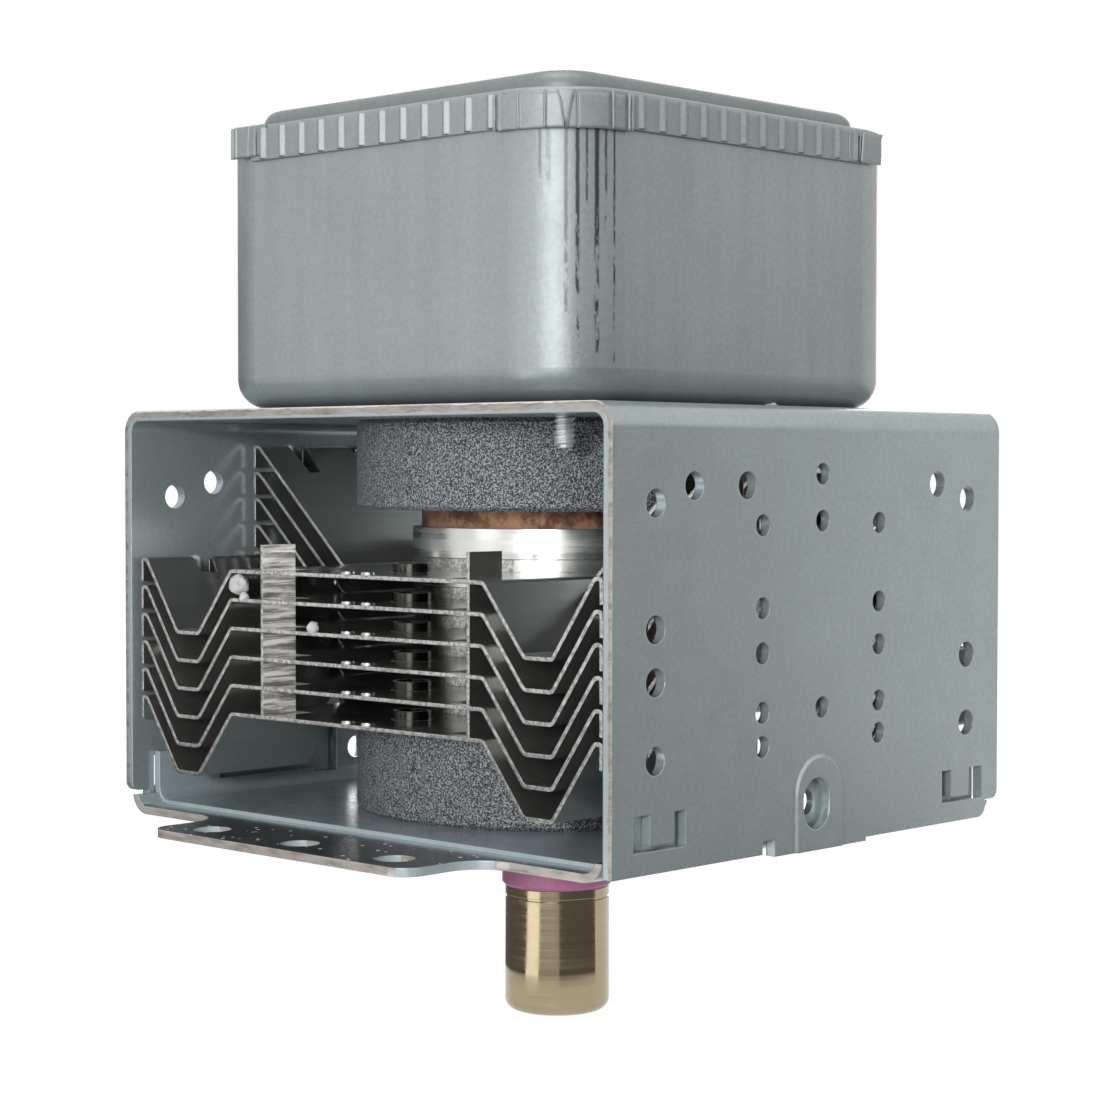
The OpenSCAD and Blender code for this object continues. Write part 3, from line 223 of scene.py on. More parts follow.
class Finish:
    """A procedural material built node by node."""

    def __init__(self, name, base, metallic=0.0, roughness=0.5, **sockets):
        self.material = bpy.data.materials.new(name)
        self.material.use_nodes = True
        self.tree = self.material.node_tree
        self.shader = self.tree.nodes["Principled BSDF"]
        self.base = tuple(base)
        self.set("Base Color", (*self.base, 1.0))
        self.set("Metallic", metallic)
        self.set("Roughness", roughness)
        for socket, value in sockets.items():
            self.set(socket.replace("_", " "), value)
        self.where = self.node("ShaderNodeTexCoord").outputs["Object"]

    def node(self, kind, **inputs):
        """A new node with its inputs set or linked."""
        made = self.tree.nodes.new(kind)
        for key, value in inputs.items():
            self.feed(made.inputs[key.replace("_", " ")], value)
        return made

    def feed(self, socket, value):
        """Links a socket or sets its value."""
        if isinstance(value, bpy.types.NodeSocket):
            self.tree.links.new(value, socket)
        else:
            socket.default_value = value

    def set(self, socket, value):
        self.feed(self.shader.inputs[socket], value)

    def stretched(self, scale):
        made = self.node("ShaderNodeMapping", Vector=self.where)
        made.inputs["Scale"].default_value = scale
        return made.outputs["Vector"]

    def noise(self, scale, detail=3.0, roughness=0.5, vector=None):
        made = self.node("ShaderNodeTexNoise", Vector=vector or self.where, Scale=scale,
                         Detail=detail, Roughness=roughness)
        return made.outputs["Fac"]

    def ramp(self, fac, low, high, a=0.0, b=1.0):
        """fac from low..high mapped to a..b."""
        made = self.node("ShaderNodeMapRange", Value=fac)
        made.interpolation_type = "SMOOTHSTEP"
        for key, value in (("From Min", low), ("From Max", high), ("To Min", a), ("To Max", b)):
            made.inputs[key].default_value = value
        return made.outputs["Result"]

    def math(self, operation, a, b=0.0):
        made = self.node("ShaderNodeMath")
        made.operation = operation
        self.feed(made.inputs[0], a)
        self.feed(made.inputs[1], b)
        return made.outputs[0]

    def mix(self, fac, a, b, blend="MIX"):
        made = self.node("ShaderNodeMix")
        made.data_type = "RGBA"
        made.blend_type = blend
        self.feed(made.inputs[0], fac)
        for socket, tone in ((made.inputs[6], a), (made.inputs[7], b)):
            self.feed(socket, tone if isinstance(tone, bpy.types.NodeSocket) else (*tone, 1.0))
        return made.outputs[2]

    def both(self, first, *more):
        """1 where every mask is 1."""
        for mask in more:
            first = self.math("MULTIPLY", first, mask)
        return first

    def axes(self, vector):
        made = self.node("ShaderNodeSeparateXYZ", Vector=vector)
        return made.outputs["X"], made.outputs["Y"], made.outputs["Z"]

    def normal(self):
        return self.axes(self.node("ShaderNodeNewGeometry").outputs["True Normal"])

    def facing(self, axis, limit=0.9):
        """1 where the surface faces along the axis, either way."""
        return self.math("GREATER_THAN", self.math("ABSOLUTE", self.normal()[axis]), limit)

    def bump(self, height, distance, strength=1.0, edge=0.0):
        """Relief from a height, with edges softened by a radius."""
        made = self.node("ShaderNodeBump", Height=height, Distance=distance, Strength=strength)
        if edge:
            rounded = self.node("ShaderNodeBevel", Radius=edge)
            rounded.samples = 6
            self.feed(made.inputs["Normal"], rounded.outputs["Normal"])
        self.set("Normal", made.outputs["Normal"])

    def scaled(self, under, factor):
        """A colour times a factor."""
        grey = self.node("ShaderNodeCombineColor", Red=factor, Green=factor, Blue=factor).outputs["Color"]
        return self.mix(1.0, under, grey, "MULTIPLY")

    def shade(self, amount, fac, colour_socket=None):
        """The base colour, darker and lighter by amount with fac."""
        factor = self.ramp(fac, 0.3, 0.7, 1.0 - amount, 1.0 + amount)
        return self.scaled(colour_socket or self.base, factor)

    def give(self, *nodes):
        """Puts the finish on CAD nodes."""
        for name in nodes:
            put_on(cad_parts[name], self)
        return self


def put_on(obj, finish):
    """Makes the finish the only one on an object."""
    obj.data.materials.clear()
    obj.data.materials.append(finish.material)


def link_mesh(name, mesh):
    """A new object in the scene from a bmesh, which is freed."""
    data = bpy.data.meshes.new(name)
    mesh.to_mesh(data)
    mesh.free()
    obj = bpy.data.objects.new(name, data)
    bpy.context.scene.collection.objects.link(obj)
    return obj


def add_piece(name, mesh, finish, replaces=()):
    """Links a finished bmesh as a smooth piece of the object."""
    obj = link_mesh(name, mesh)
    for face in obj.data.polygons:
        face.use_smooth = True
    put_on(obj, finish)
    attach(obj, BODY)
    if replaces:
        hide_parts(*replaces)
    return obj


def bridge_rings(mesh, rings):
    """Faces between closed rings of points, with both ends capped."""
    for a, b in zip(rings, rings[1:]):
        for k in range(len(a)):
            n = (k + 1) % len(a)
            mesh.faces.new((a[k], a[n], b[n], b[k]))
    mesh.faces.new(list(reversed(rings[0])))
    mesh.faces.new(rings[-1])


def corner_centre():
    """Distance from the axis, along X and Y alike, of the centres of the box's round corners."""
    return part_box("filter_box")[1].x - CORNER_R


def zinc_finish(name, base, metallic, roughness, edge=0.0, relief=True):
    """Zinc plating on rolled sheet: fine grain, faint clouds and softened edges."""
    f = Finish(name, base, metallic, roughness)
    grain = f.noise(1500.0, 5.0, 0.65)
    cloud = f.noise(32.0, 4.0, 0.6)
    toned = f.shade(0.06, grain)
    f.toned = f.shade(0.045, cloud, toned)
    f.set("Base Color", f.toned)
    f.set("Roughness", f.ramp(f.noise(240.0, 4.0), 0.3, 0.7, roughness - 0.02, roughness + 0.03))
    if relief:
        f.bump(grain, 0.012 * MM, 0.5, edge)
    return f


class MAGNETRON_OT_yoke(Operator):
    """Finish the steel yoke and the base plate"""
    bl_idname = "magnetron.yoke"
    bl_label = "Yoke and base plate"

    def execute(self, context):
        look, piece = settings().finish, settings().piece
        cut_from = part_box("yoke_shell")[1].y - piece.cut_depth
        yoke = zinc_finish("zinc_steel", look.zinc, 0.62, 0.24, 0.22 * MM)
        bare = sheared_edges(yoke, cut_from, yoke.toned)
        yoke.set("Base Color", self.edge_band(yoke, yoke.toned, bare))
        yoke.give("yoke_shell")

        plate_metal, worn_metal = 0.36, 0.92
        plate = zinc_finish("zinc_plate", look.plate, plate_metal, 0.22, 0.22 * MM)
        bare = sheared_edges(plate, cut_from, plate.toned)
        y = plate.axes(plate.where)[1]
        front = plate.ramp(y, -piece.flange_y - piece.flange_fade, -piece.flange_y, 1.0, 0.0)
        worn = plate.both(front, plate.math("GREATER_THAN", plate.normal()[2], 0.9))
        cells = plate.node("ShaderNodeTexVoronoi", Vector=plate.where, Scale=700.0)
        dot = plate.math("LESS_THAN", cells.outputs["Distance"], 0.19)
        some = plate.math("GREATER_THAN", plate.axes(cells.outputs["Color"])[0], 0.6)
        dust = plate.both(dot, some, worn)
        plate.set("Base Color", plate.mix(dust, plate.mix(worn, bare, look.worn), look.dust))
        metal = plate.ramp(worn, 0.0, 1.0, plate_metal, worn_metal)
        plate.set("Metallic", plate.both(metal, plate.math("SUBTRACT", 1.0, dust)))
        plate.give("base_plate")
        return {"FINISHED"}

    def edge_band(self, f, toned, bare):
        """Bare metal on the outer part of the sheet's edge only, with a painted highlight line at its very
        rim.
        """
        piece = settings().piece
        x, _, z = f.axes(f.where)
        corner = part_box("yoke_shell")[1]
        bend = piece.yoke_bend
        across = f.math("MAXIMUM", f.math("SUBTRACT", f.math("ABSOLUTE", x), corner.x - bend), 0.0)
        up = f.math("MAXIMUM", f.math("SUBTRACT", z, corner.z - bend), 0.0)
        far = f.math("SQRT", f.math("ADD", f.math("POWER", across, 2.0), f.math("POWER", up, 2.0)))
        burr = f.noise(500.0, 3.0, 0.6)
        bare_from = f.ramp(burr, 0.3, 0.7, bend - piece.bare_most, bend - piece.bare_least)
        highlight_from = f.ramp(burr, 0.3, 0.7, bend - piece.highlight_least, bend - piece.highlight_most)
        banded = f.mix(f.math("GREATER_THAN", far, bare_from), toned, bare)
        # Painted highlight: the rim colour on the outermost strip of the edge faces
        edge = f.both(f.math("GREATER_THAN", far, highlight_from), f.facing(1))
        return f.mix(edge, banded, settings().finish.rim)


def sheared_edges(f, from_y, toned):
    """The toned colour, with bare stained metal on the cut edges beyond from_y."""
    look = settings().finish
    y = f.axes(f.where)[1]
    beyond = f.math("GREATER_THAN", f.math("ABSOLUTE", y), from_y)
    stain = f.ramp(f.noise(700.0, 4.0, 0.65, f.stretched((0.35, 1.0, 1.6))), 0.38, 0.7)
    edge = f.mix(stain, look.sheared, look.rust)
    return f.mix(f.both(f.facing(1), beyond), toned, edge)


# Score marks on the near corner of the box: degrees, half width, length in mm, depth
SCORES = (
    (-64.2, 1.3, 9.0, 0.45), (-58.3, 2.2, 7.0, 0.3), (-45.8, 1.6, 22.0, 0.55), (-37.8, 1.7, 27.0, 0.95),
    (-31.1, 1.1, 11.0, 0.8), (-23.8, 2.1, 27.0, 1.0), (-16.8, 1.2, 13.0, 0.85), (-9.7, 1.1, 28.0, 0.9),
)

# Outline of the crimped sheet round a lid corner: degrees and share of the fold's rise
FOLDS = (
    (-100.0, -2.0), (-99.2, 0.4), (-98.2, 0.2), (-97.8, -2.0), (-94.8, -2.0), (-94.2, 0.6), (-92.5, 0.3),
    (-79.0, 0.25), (-78.2, 1.0), (-77.2, 1.0), (-76.4, 0.3), (-60.4, 0.25), (-59.7, 0.95), (-58.9, 0.95),
    (-58.2, 0.3), (-39.2, 0.3), (-38.6, -0.5), (-38.0, -0.5), (-37.4, 0.25), (-17.2, 0.25), (-16.4, -0.6),
    (-15.4, -0.4), (-14.8, 1.0), (-13.8, 1.0), (-13.0, 0.25), (-4.0, 0.25), (-3.2, -0.8), (-2.2, -0.6),
    (-1.5, 1.0), (-0.4, 1.0), (0.5, 0.2), (1.4, 0.2), (2.0, 0.9), (3.0, 0.8), (4.0, -2.0),
)
PLEAT_AT = -46.0


def fold_height(degrees, up):
    """Share of the fold's rise at an angle, at the height share up."""
    value = FOLDS[-1][1]
    for (a, ha), (b, hb) in zip(FOLDS, FOLDS[1:]):
        if a <= degrees <= b:
            value = ha + (hb - ha) * (degrees - a) / (b - a)
            break
    half = 0.7 + 4.3 * up ** 1.5
    off = abs(degrees - PLEAT_AT)
    if off < half:
        return -0.9
    if off < half + 1.0:
        return 1.0 - 0.3 * (off - half)
    return value


def fold_mesh(foot, rise):
    """Crimped sheet over the near corner of the lid's skirt."""
    patch, skirt_h, sheet = 0.22 * MM, 4.55 * MM, 0.4 * MM
    clear, tuck_in, deepest = 0.02 * MM, 0.25 * MM, 0.25 * MM
    centre = corner_centre()
    steps, rows = 420, 16
    first, last = FOLDS[0][0], FOLDS[-1][0]
    mesh = bmesh.new()

    def place(degrees, r):
        bent = max(-90.0, min(0.0, degrees))
        along = math.radians(degrees - bent) * SKIRT_R
        out = Vector((math.cos(math.radians(bent)), math.sin(math.radians(bent))))
        side = Vector((-out.y, out.x))
        return Vector((centre, -centre)) + out * r + side * along

    def ring(j, outer):
        up = j / (rows - 1)
        z = foot + clear + skirt_h * up
        line = []
        for i in range(steps + 1):
            degrees = first + (last - first) * i / steps
            wave = noise.noise(Vector((degrees * 0.12, up * 2.0, 0.0)))
            level = fold_height(degrees + 0.35 * wave, up)
            tuck = max(0.0, (up - 0.86) / 0.14) ** 2 * tuck_in
            r = SKIRT_R + (patch + rise * level * (1.0 + 0.3 * wave) - tuck if outer else patch - sheet)
            at = place(degrees, max(r, SKIRT_R - deepest))
            line.append(mesh.verts.new((at.x, at.y, z)))
        return line

    close_sheet(mesh, [ring(j, True) for j in range(rows)], [ring(j, False) for j in range(rows)])
    return mesh


def close_sheet(mesh, outer, inner):
    """Faces of a sheet between two grids of points."""
    last = len(outer[0]) - 1

    def bridge(a, b):
        for i in range(last):
            mesh.faces.new((a[i], a[i + 1], b[i + 1], b[i]))

    for a, b in zip(outer, outer[1:]):
        bridge(a, b)
    for a, b in zip(inner, inner[1:]):
        bridge(b, a)
    bridge(inner[0], outer[0])
    bridge(outer[-1], inner[-1])
    for i in (0, last):
        for j in range(len(outer) - 1):
            mesh.faces.new((inner[j][i], outer[j][i], outer[j + 1][i], inner[j + 1][i]))
    bmesh.ops.recalc_face_normals(mesh, faces=mesh.faces)


# Outlines of the flat flaps past the other corners, in mm along the skirt and out of it
LEFT_FLAP = (
    (-3.0, -0.1), (-2.92, 0.16), (-2.75, 0.2), (-1.35, 0.13), (-1.25, 0.0), (-1.05, 0.0), (-0.95, 0.25),
    (0.05, 0.22), (0.15, 0.0), (0.35, 0.0), (0.45, 0.18), (2.7, 0.2), (2.82, 0.36), (3.1, 0.36),
    (3.25, -0.1), (3.85, -0.1), (3.95, 0.12), (4.12, 0.1),
)
RIGHT_FLAP = (
    (-3.85, -0.1), (-3.78, 0.1), (-1.9, 0.13), (-1.8, 0.0), (-1.4, 0.0), (-1.3, 0.14), (-1.1, 0.14),
    (-1.0, 0.0), (-0.75, 0.0), (-0.65, 0.24), (3.05, 0.22),
)
# How a flap's inner edge sways: its place and half width along the skirt, lean and wave, in mm
LEFT_SWAY = (-0.45, 1.0, -0.1, 0.16)
RIGHT_SWAY = (-0.9, 0.6, -0.6, 0.05)


def flap_mesh(outline, sway, flare, foot, top, along_x):
    """Flat flap of the lid's skirt that runs on past a corner, drawn for the corner at +X, -Y."""
    centre = corner_centre()
    middle, half, lean, wave = sway
    steps, rows = 170, 14
    first, last = outline[0][0], outline[-1][0]
    mesh = bmesh.new()

    def level(u):
        for (a, wa), (b, wb) in zip(outline, outline[1:]):
            if a <= u <= b:
                return wa + (wb - wa) * (u - a) / (b - a)
        return outline[-1][1]

    def ring(j, outer):
        v = j / (rows - 1)
        line = []
        for i in range(steps + 1):
            u = first + (last - first) * i / steps
            w = level(u) - 0.15 * max(0.0, (v - 0.88) / 0.12) ** 2 if outer else -0.3
            u += math.exp(-((u - middle) / half) ** 2) * (lean * (1.0 - v) + wave * math.sin(5.6 * v))
            u += flare * max(0.0, (v - 0.75) / 0.25) ** 2 * max(0.0, u / last) ** 6
            along, out = centre + u * MM, centre + SKIRT_R + w * MM
            x, y = (along, -out) if along_x else (out, -along)
            line.append(mesh.verts.new((x, y, foot + (top - foot) * v)))
        return line

    close_sheet(mesh, [ring(j, True) for j in range(rows)], [ring(j, False) for j in range(rows)])
    return mesh


class MAGNETRON_OT_filter_box(Operator):
    """Finish the filter box, its lid and the foil shim"""
    bl_idname = "magnetron.filter_box"
    bl_label = "Filter box"

    def execute(self, context):
        look, piece = settings().finish, settings().piece
        box = zinc_finish("box_steel", look.box, 0.7, 0.37, relief=False)
        pulled = box.noise(90.0, 3.0, 0.5, box.stretched((3.0, 3.0, 0.12)))
        toned = box.shade(0.035, pulled, box.toned)
        box.set("Base Color", box.mix(self.scores(box), toned, look.score))
        nx, ny, _ = box.normal()
        flat = box.math("MAXIMUM", box.math("ABSOLUTE", nx), box.math("ABSOLUTE", ny))
        drawn = box.ramp(flat, 0.90, 0.998, 0.55, 0.05)
        box.bump(box.noise(2200.0, 4.0, 0.65), 0.06 * MM, drawn)
        box.give("filter_box")

        lid = zinc_finish("lid_steel", look.lid, 0.7, 0.44, 0.2 * MM)
        # Painted shade: the colour of the lid, its folds and its flaps darkens by ambient occlusion in
        # creases and recesses, where shade falls
        crease_occlusion = lid.node("ShaderNodeAmbientOcclusion", Distance=0.5 * MM)
        painted_crease_shade = lid.ramp(crease_occlusion.outputs["AO"], 0.3, 0.85, 0.12, 1.0)
        height = lid.axes(lid.where)[2]
        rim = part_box("filter_box")[1].z + piece.plateau_lift
        # Painted shade: the plateau above the box's rim is made darker than the skirt
        painted_plateau_shade = lid.ramp(height, rim, rim + 0.5 * MM, 1.0, 0.74)
        lid.set("Base Color", lid.scaled(lid.toned, lid.both(painted_crease_shade, painted_plateau_shade)))
        lid.give("filter_lid")
        self.folds(lid)

        foil = Finish("foil", look.foil, 1.0, 0.3)
        foil.bump(foil.noise(500.0, 4.0), 0.05 * MM)
        foil.give("box_shim")
        return {"FINISHED"}

    def scores(self, f):
        """How strongly the score marks on the near corner show."""
        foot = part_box("filter_lid")[0].z
        x, y, z = f.axes(f.where)
        centre = corner_centre()
        angle = f.math("ARCTAN2", f.math("ADD", y, centre), f.math("SUBTRACT", x, centre))
        unsteady = f.math("SUBTRACT", f.noise(700.0, 3.0, 0.6), 0.5)
        angle = f.math("ADD", angle, f.math("MULTIPLY", unsteady, math.radians(1.4)))
        torn = f.noise(1500.0, 4.0, 0.7, f.stretched((1.0, 1.0, 0.3)))
        marks = []
        for degrees, width, reach, depth in SCORES:
            end = foot - reach * MM
            off = f.math("ABSOLUTE", f.math("SUBTRACT", angle, math.radians(degrees)))
            line = f.ramp(off, math.radians(width * 0.35), math.radians(width * 1.25), 1.0, 0.0)
            whole = f.math("ADD", torn, f.ramp(z, end, foot, 0.06, 0.3))
            broken = f.ramp(whole, 0.56, 0.68, 0.0, depth)
            marks.append(f.both(line, broken, f.math("GREATER_THAN", z, end)))
        strongest = marks[0]
        for mark in marks[1:]:
            strongest = f.math("MAXIMUM", strongest, mark)
        return strongest

    def folds(self, finish):
        """Crimped sheet round the near corner of the lid and flaps past the other three."""
        piece = settings().piece
        foot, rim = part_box("filter_lid")[0].z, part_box("filter_box")[1].z + piece.rim_lift
        add_piece("near_lid_fold", fold_mesh(foot, piece.fold_rise), finish)
        low = foot + piece.flap_lift
        right = (RIGHT_FLAP, RIGHT_SWAY, 0.6, low - 0.5 * MM, rim - 0.55 * MM, True)
        left = (LEFT_FLAP, LEFT_SWAY, 0.0, low, rim - 0.02 * MM, False)
        for turn, name, shape in ((1, "right", right), (2, "rear", left), (3, "left", left)):
            mesh = flap_mesh(*shape)
            mesh.transform(Matrix.Rotation(math.radians(90 * turn), 4, "Z"))
            add_piece(f"{name}_lid_flap", mesh, finish)


class MAGNETRON_OT_fins(Operator):
    """Finish the cooling fins"""
    bl_idname = "magnetron.fins"
    bl_label = "Cooling fins"

    def execute(self, context):
        look, piece = settings().finish, settings().piece
        sheet_metal, highlight_metal = 0.97, 0.35
        f = Finish("fin_sheet", look.fin, sheet_metal, 0.2)
        rolled = f.noise(300.0, 4.0, 0.6, f.stretched((4.0, 0.15, 4.0)))
        nicks = f.ramp(f.noise(2200.0, 3.0, 0.7), 0.36, 0.62)
        tone = f.mix(f.facing(1), f.shade(0.05, rolled), f.mix(nicks, look.fin_nick, look.fin_cut))
        x, y, _ = f.axes(f.where)
        nx, _, nz = f.normal()

        # Eyelets: painted shade on the upright collar, painted highlight on the lip
        along = f.math("SUBTRACT", f.math("ABSOLUTE", y), piece.eyelet_y)
        off = f.math("SQRT", f.math("ADD", f.math("POWER", x, 2.0), f.math("POWER", along, 2.0)))
        near = f.math("LESS_THAN", off, piece.eyelet_r)
        upright = f.math("LESS_THAN", f.math("ABSOLUTE", nz), 0.5)
        lip_highlight = f.both(near, f.math("SUBTRACT", 1.0, upright))
        tone = f.mix(f.both(near, upright), tone, look.collar_shade)
        tone = f.mix(lip_highlight, tone, look.lip_highlight)

        # Tabs: a pale painted highlight with dark streaks, on the sides that face the axis
        from_tab = f.math("ABSOLUTE", f.math("SUBTRACT", f.math("ABSOLUTE", x), piece.tab_x))
        inward = f.math("LESS_THAN", f.math("MULTIPLY", x, nx), -15.0 * MM)
        on_tab = f.both(f.math("LESS_THAN", from_tab, piece.tab_depth), inward)
        streak = f.ramp(f.noise(420.0, 4.0, 0.7, f.stretched((1.0, 0.22, 3.2))), 0.40, 0.62)
        f.set("Base Color", f.mix(on_tab, tone, f.mix(streak, look.tab_dark, look.tab_highlight)))

        # Less metal on the tabs and the eyelet lips, so that their painted highlight shows in diffuse light
        tabs_and_lips_highlight = f.math("MAXIMUM", on_tab, lip_highlight)
        f.set("Metallic", f.ramp(tabs_and_lips_highlight, 0.0, 1.0, sheet_metal, highlight_metal))
        f.set("Roughness", f.ramp(f.noise(60.0, 4.0, 0.6), 0.3, 0.7, 0.12, 0.26))
        f.bump(rolled, 0.02 * MM, 0.6, 0.12 * MM)
        f.give(*FINS)
        return {"FINISHED"}


class MAGNETRON_OT_magnets(Operator):
    """Finish the ferrite rings and the choke cores"""
    bl_idname = "magnetron.magnets"
    bl_label = "Magnets"

    def execute(self, context):
        look = settings().finish
        f = Finish("ferrite", look.ferrite_dark, 0.15, 0.5)
        grain = f.noise(5000.0, 2.0, 0.6)
        pale = f.ramp(grain, 0.44, 0.62)
        f.set("Base Color", f.mix(pale, look.ferrite_dark, look.ferrite_pale))
        f.bump(grain, 0.08 * MM, 0.8, 0.2 * MM)
        f.give("upper_magnet", "lower_magnet", "choke_cores")
        return {"FINISHED"}


def turned_finish(name, base, roughness, depth, rings, amount=0.10):
    """Metal with fine rings round the Z axis."""
    f = Finish(name, base, 1.0, roughness)
    marks = f.noise(rings, 3.0, 0.7, f.stretched((0.02, 0.02, 1.0)))
    stain = f.noise(130.0, 4.0, 0.6)
    f.toned = f.shade(amount, stain, f.shade(amount, marks))
    f.set("Base Color", f.toned)
    f.set("Roughness", f.ramp(marks, 0.3, 0.7, roughness - 0.07, roughness + 0.1))
    f.bump(marks, depth, 0.6, 0.15 * MM)
    return f


class MAGNETRON_OT_tube(Operator):
    """Finish the tube: anode, pole pieces, seals and cathode"""
    bl_idname = "magnetron.tube"
    bl_label = "Tube"

    def execute(self, context):
        look = settings().finish
        turned_finish("copper", look.copper, 0.32, 0.03 * MM, 900.0).give(
            "anode_vanes", "strap_rings", "exhaust_tube", "antenna_lead")
        band = Finish("plated_iron", look.band, 0.55, 0.5)
        burnt = band.noise(260.0, 5.0, 0.7)
        band.set("Base Color", band.mix(band.ramp(burnt, 0.42, 0.62), look.band, look.burnt))
        band.bump(burnt, 0.1 * MM)
        band.give("upper_pole_piece", "lower_pole_piece")
        turned_finish("bright_steel", look.nickel, 0.22, 0.03 * MM, 700.0).give(
            "anode_shell", "anode_end_sleeve", "stem_seal_cup", "antenna_seal_cup")
        wire = Finish("tungsten", look.tungsten, 1.0, 0.45)
        wire.set("Base Color", wire.shade(0.15, wire.noise(900.0, 3.0)))
        wire.give("filament", "end_hats", "cathode_leads")
        white = Finish("white_ceramic", look.white_ceramic, 0.0, 0.4)
        white.set("Base Color", white.shade(0.04, white.noise(300.0, 4.0)))
        white.give("stem_insulator")
        return {"FINISHED"}


class MAGNETRON_OT_antenna(Operator):
    """Finish the antenna: pink insulator, cap and gasket"""
    bl_idname = "magnetron.antenna"
    bl_label = "Antenna"

    def execute(self, context):
        look = settings().finish
        pink = Finish("pink_ceramic", look.pink_ceramic, 0.0, 0.38)
        pink.set("Base Color", pink.shade(0.10, pink.noise(420.0, 4.0)))
        pink.bump(pink.noise(1500.0, 2.0), 0.03 * MM, 0.4, 0.2 * MM)
        pink.give("antenna_insulator")
        turned_finish("antenna_metal", look.antenna, 0.13, 0.003 * MM, 1100.0, 0.04).give("antenna_cap")
        woven = Finish("gasket_mesh", look.mesh, 0.9, 0.45)
        weave = woven.node("ShaderNodeTexVoronoi", Vector=woven.where, Scale=900.0).outputs["Distance"]
        woven.set("Base Color", woven.shade(0.5, weave))
        woven.bump(weave, 0.2 * MM)
        woven.give("rf_gasket")
        return {"FINISHED"}


class MAGNETRON_OT_filter(Operator):
    """Finish the chokes and the feed-through capacitor"""
    bl_idname = "magnetron.filter"
    bl_label = "Filter"

    def execute(self, context):
        look = settings().finish
        coil = Finish("coil_wire", look.enamel, 0.7, 0.25, Coat_Weight=0.6)
        coil.set("Base Color", coil.shade(0.15, coil.noise(200.0, 3.0)))
        coil.give("choke_coils")
        black = Finish("black_plastic", look.plastic, 0.0, 0.45)
        grain = black.noise(1800.0, 3.0)
        black.set("Roughness", black.ramp(grain, 0.3, 0.7, 0.38, 0.55))
        black.bump(grain, 0.03 * MM, 0.5, 0.3 * MM)
        black.give("capacitor_body")
        tin = Finish("tinned_brass", look.tin, 1.0, 0.28)
        tin.set("Base Color", tin.shade(0.1, tin.noise(400.0, 4.0)))
        tin.give("capacitor_terminals")
        zinc_finish("fastener_steel", look.zinc, 0.85, 0.34, 0.15 * MM).give(
            "capacitor_rivets", "capacitor_flange", "box_screws")
        return {"FINISHED"}


# Outline of a screw head: shares of its radius and of its height
HEAD = (
    (1.0, 0.0), (1.0, 0.45), (0.97, 0.66), (0.88, 0.83), (0.74, 0.94), (0.6, 1.0),
    (0.5, 1.0), (0.4, 1.0), (0.3, 1.0), (0.2, 1.0), (0.1, 1.0),
)


def screw_mesh(foot, seat, top, radius, depth, pitch, head_r, turn):
    """Threaded screw about the Z axis with a domed, cross-recessed head."""
    around, rows_per_turn = 64, 14
    rows = int((seat - foot) / pitch * rows_per_turn) + 1
    dome = top - seat
    profile = [(foot + (seat - foot) * j / rows, None) for j in range(rows + 1)]
    profile += [(seat + dome * high, head_r * share) for share, high in HEAD]
    mesh = bmesh.new()
    rings = []
    for z, fixed in profile:
        ring = []
        for k in range(around):
            angle = 2 * math.pi * k / around
            r, level = fixed, z
            if fixed is None:
                phase = ((z - foot) / pitch - k / around + turn) % 1.0
                crest = 1.0 - abs(2.0 * phase - 1.0)
                taper = min(1.0, 0.62 + 0.38 * (z - foot) / (0.9 * pitch))
                r = (radius - depth * (1.0 - min(1.0, 1.35 * crest))) * taper
            elif z >= top and min(abs(math.cos(angle)), abs(math.sin(angle))) * r < 0.13 * head_r:
                level = z - 0.42 * dome
            ring.append(mesh.verts.new((r * math.cos(angle), r * math.sin(angle), level)))
        rings.append(ring)
    bridge_rings(mesh, rings)
    return mesh


class MAGNETRON_OT_screws(Operator):
    """Build the two threaded screws that hold the filter box"""
    bl_idname = "magnetron.screws"
    bl_label = "Screws"

    def execute(self, context):
        piece = settings().piece
        low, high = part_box("box_screws")
        head_r = piece.head_d / 2
        reach = high.x - head_r
        steel = zinc_finish("screw_steel", settings().finish.screw, 0.6, 0.3)
        both = bmesh.new()
        for sign in (1, -1):
            mesh = screw_mesh(low.z, high.z - piece.head_h, high.z, piece.shank_d / 2, piece.thread_depth,
                              piece.thread_pitch, head_r, 0.3 * sign)
            mesh.transform(Matrix.Translation((sign * reach, -sign * reach, 0.0)))
            part = bpy.data.meshes.new("screw")
            mesh.to_mesh(part)
            mesh.free()
            both.from_mesh(part)
            bpy.data.meshes.remove(part)
        add_piece("threaded_screws", both, steel, replaces=("box_screws",))
        return {"FINISHED"}


def fleck_mesh(size, seed):
    """A crumb with a crumpled surface."""
    mesh = bmesh.new()
    bmesh.ops.create_icosphere(mesh, subdivisions=4, radius=size / 2)
    for vert in mesh.verts:
        place = vert.co.normalized()
        swell = noise.fractal(place * 1.6 + Vector((seed, 0.0, 0.0)), 1.0, 2.0, 4)
        vert.co *= 1.0 + 0.18 * swell
        vert.co.z *= 1.08
    return mesh


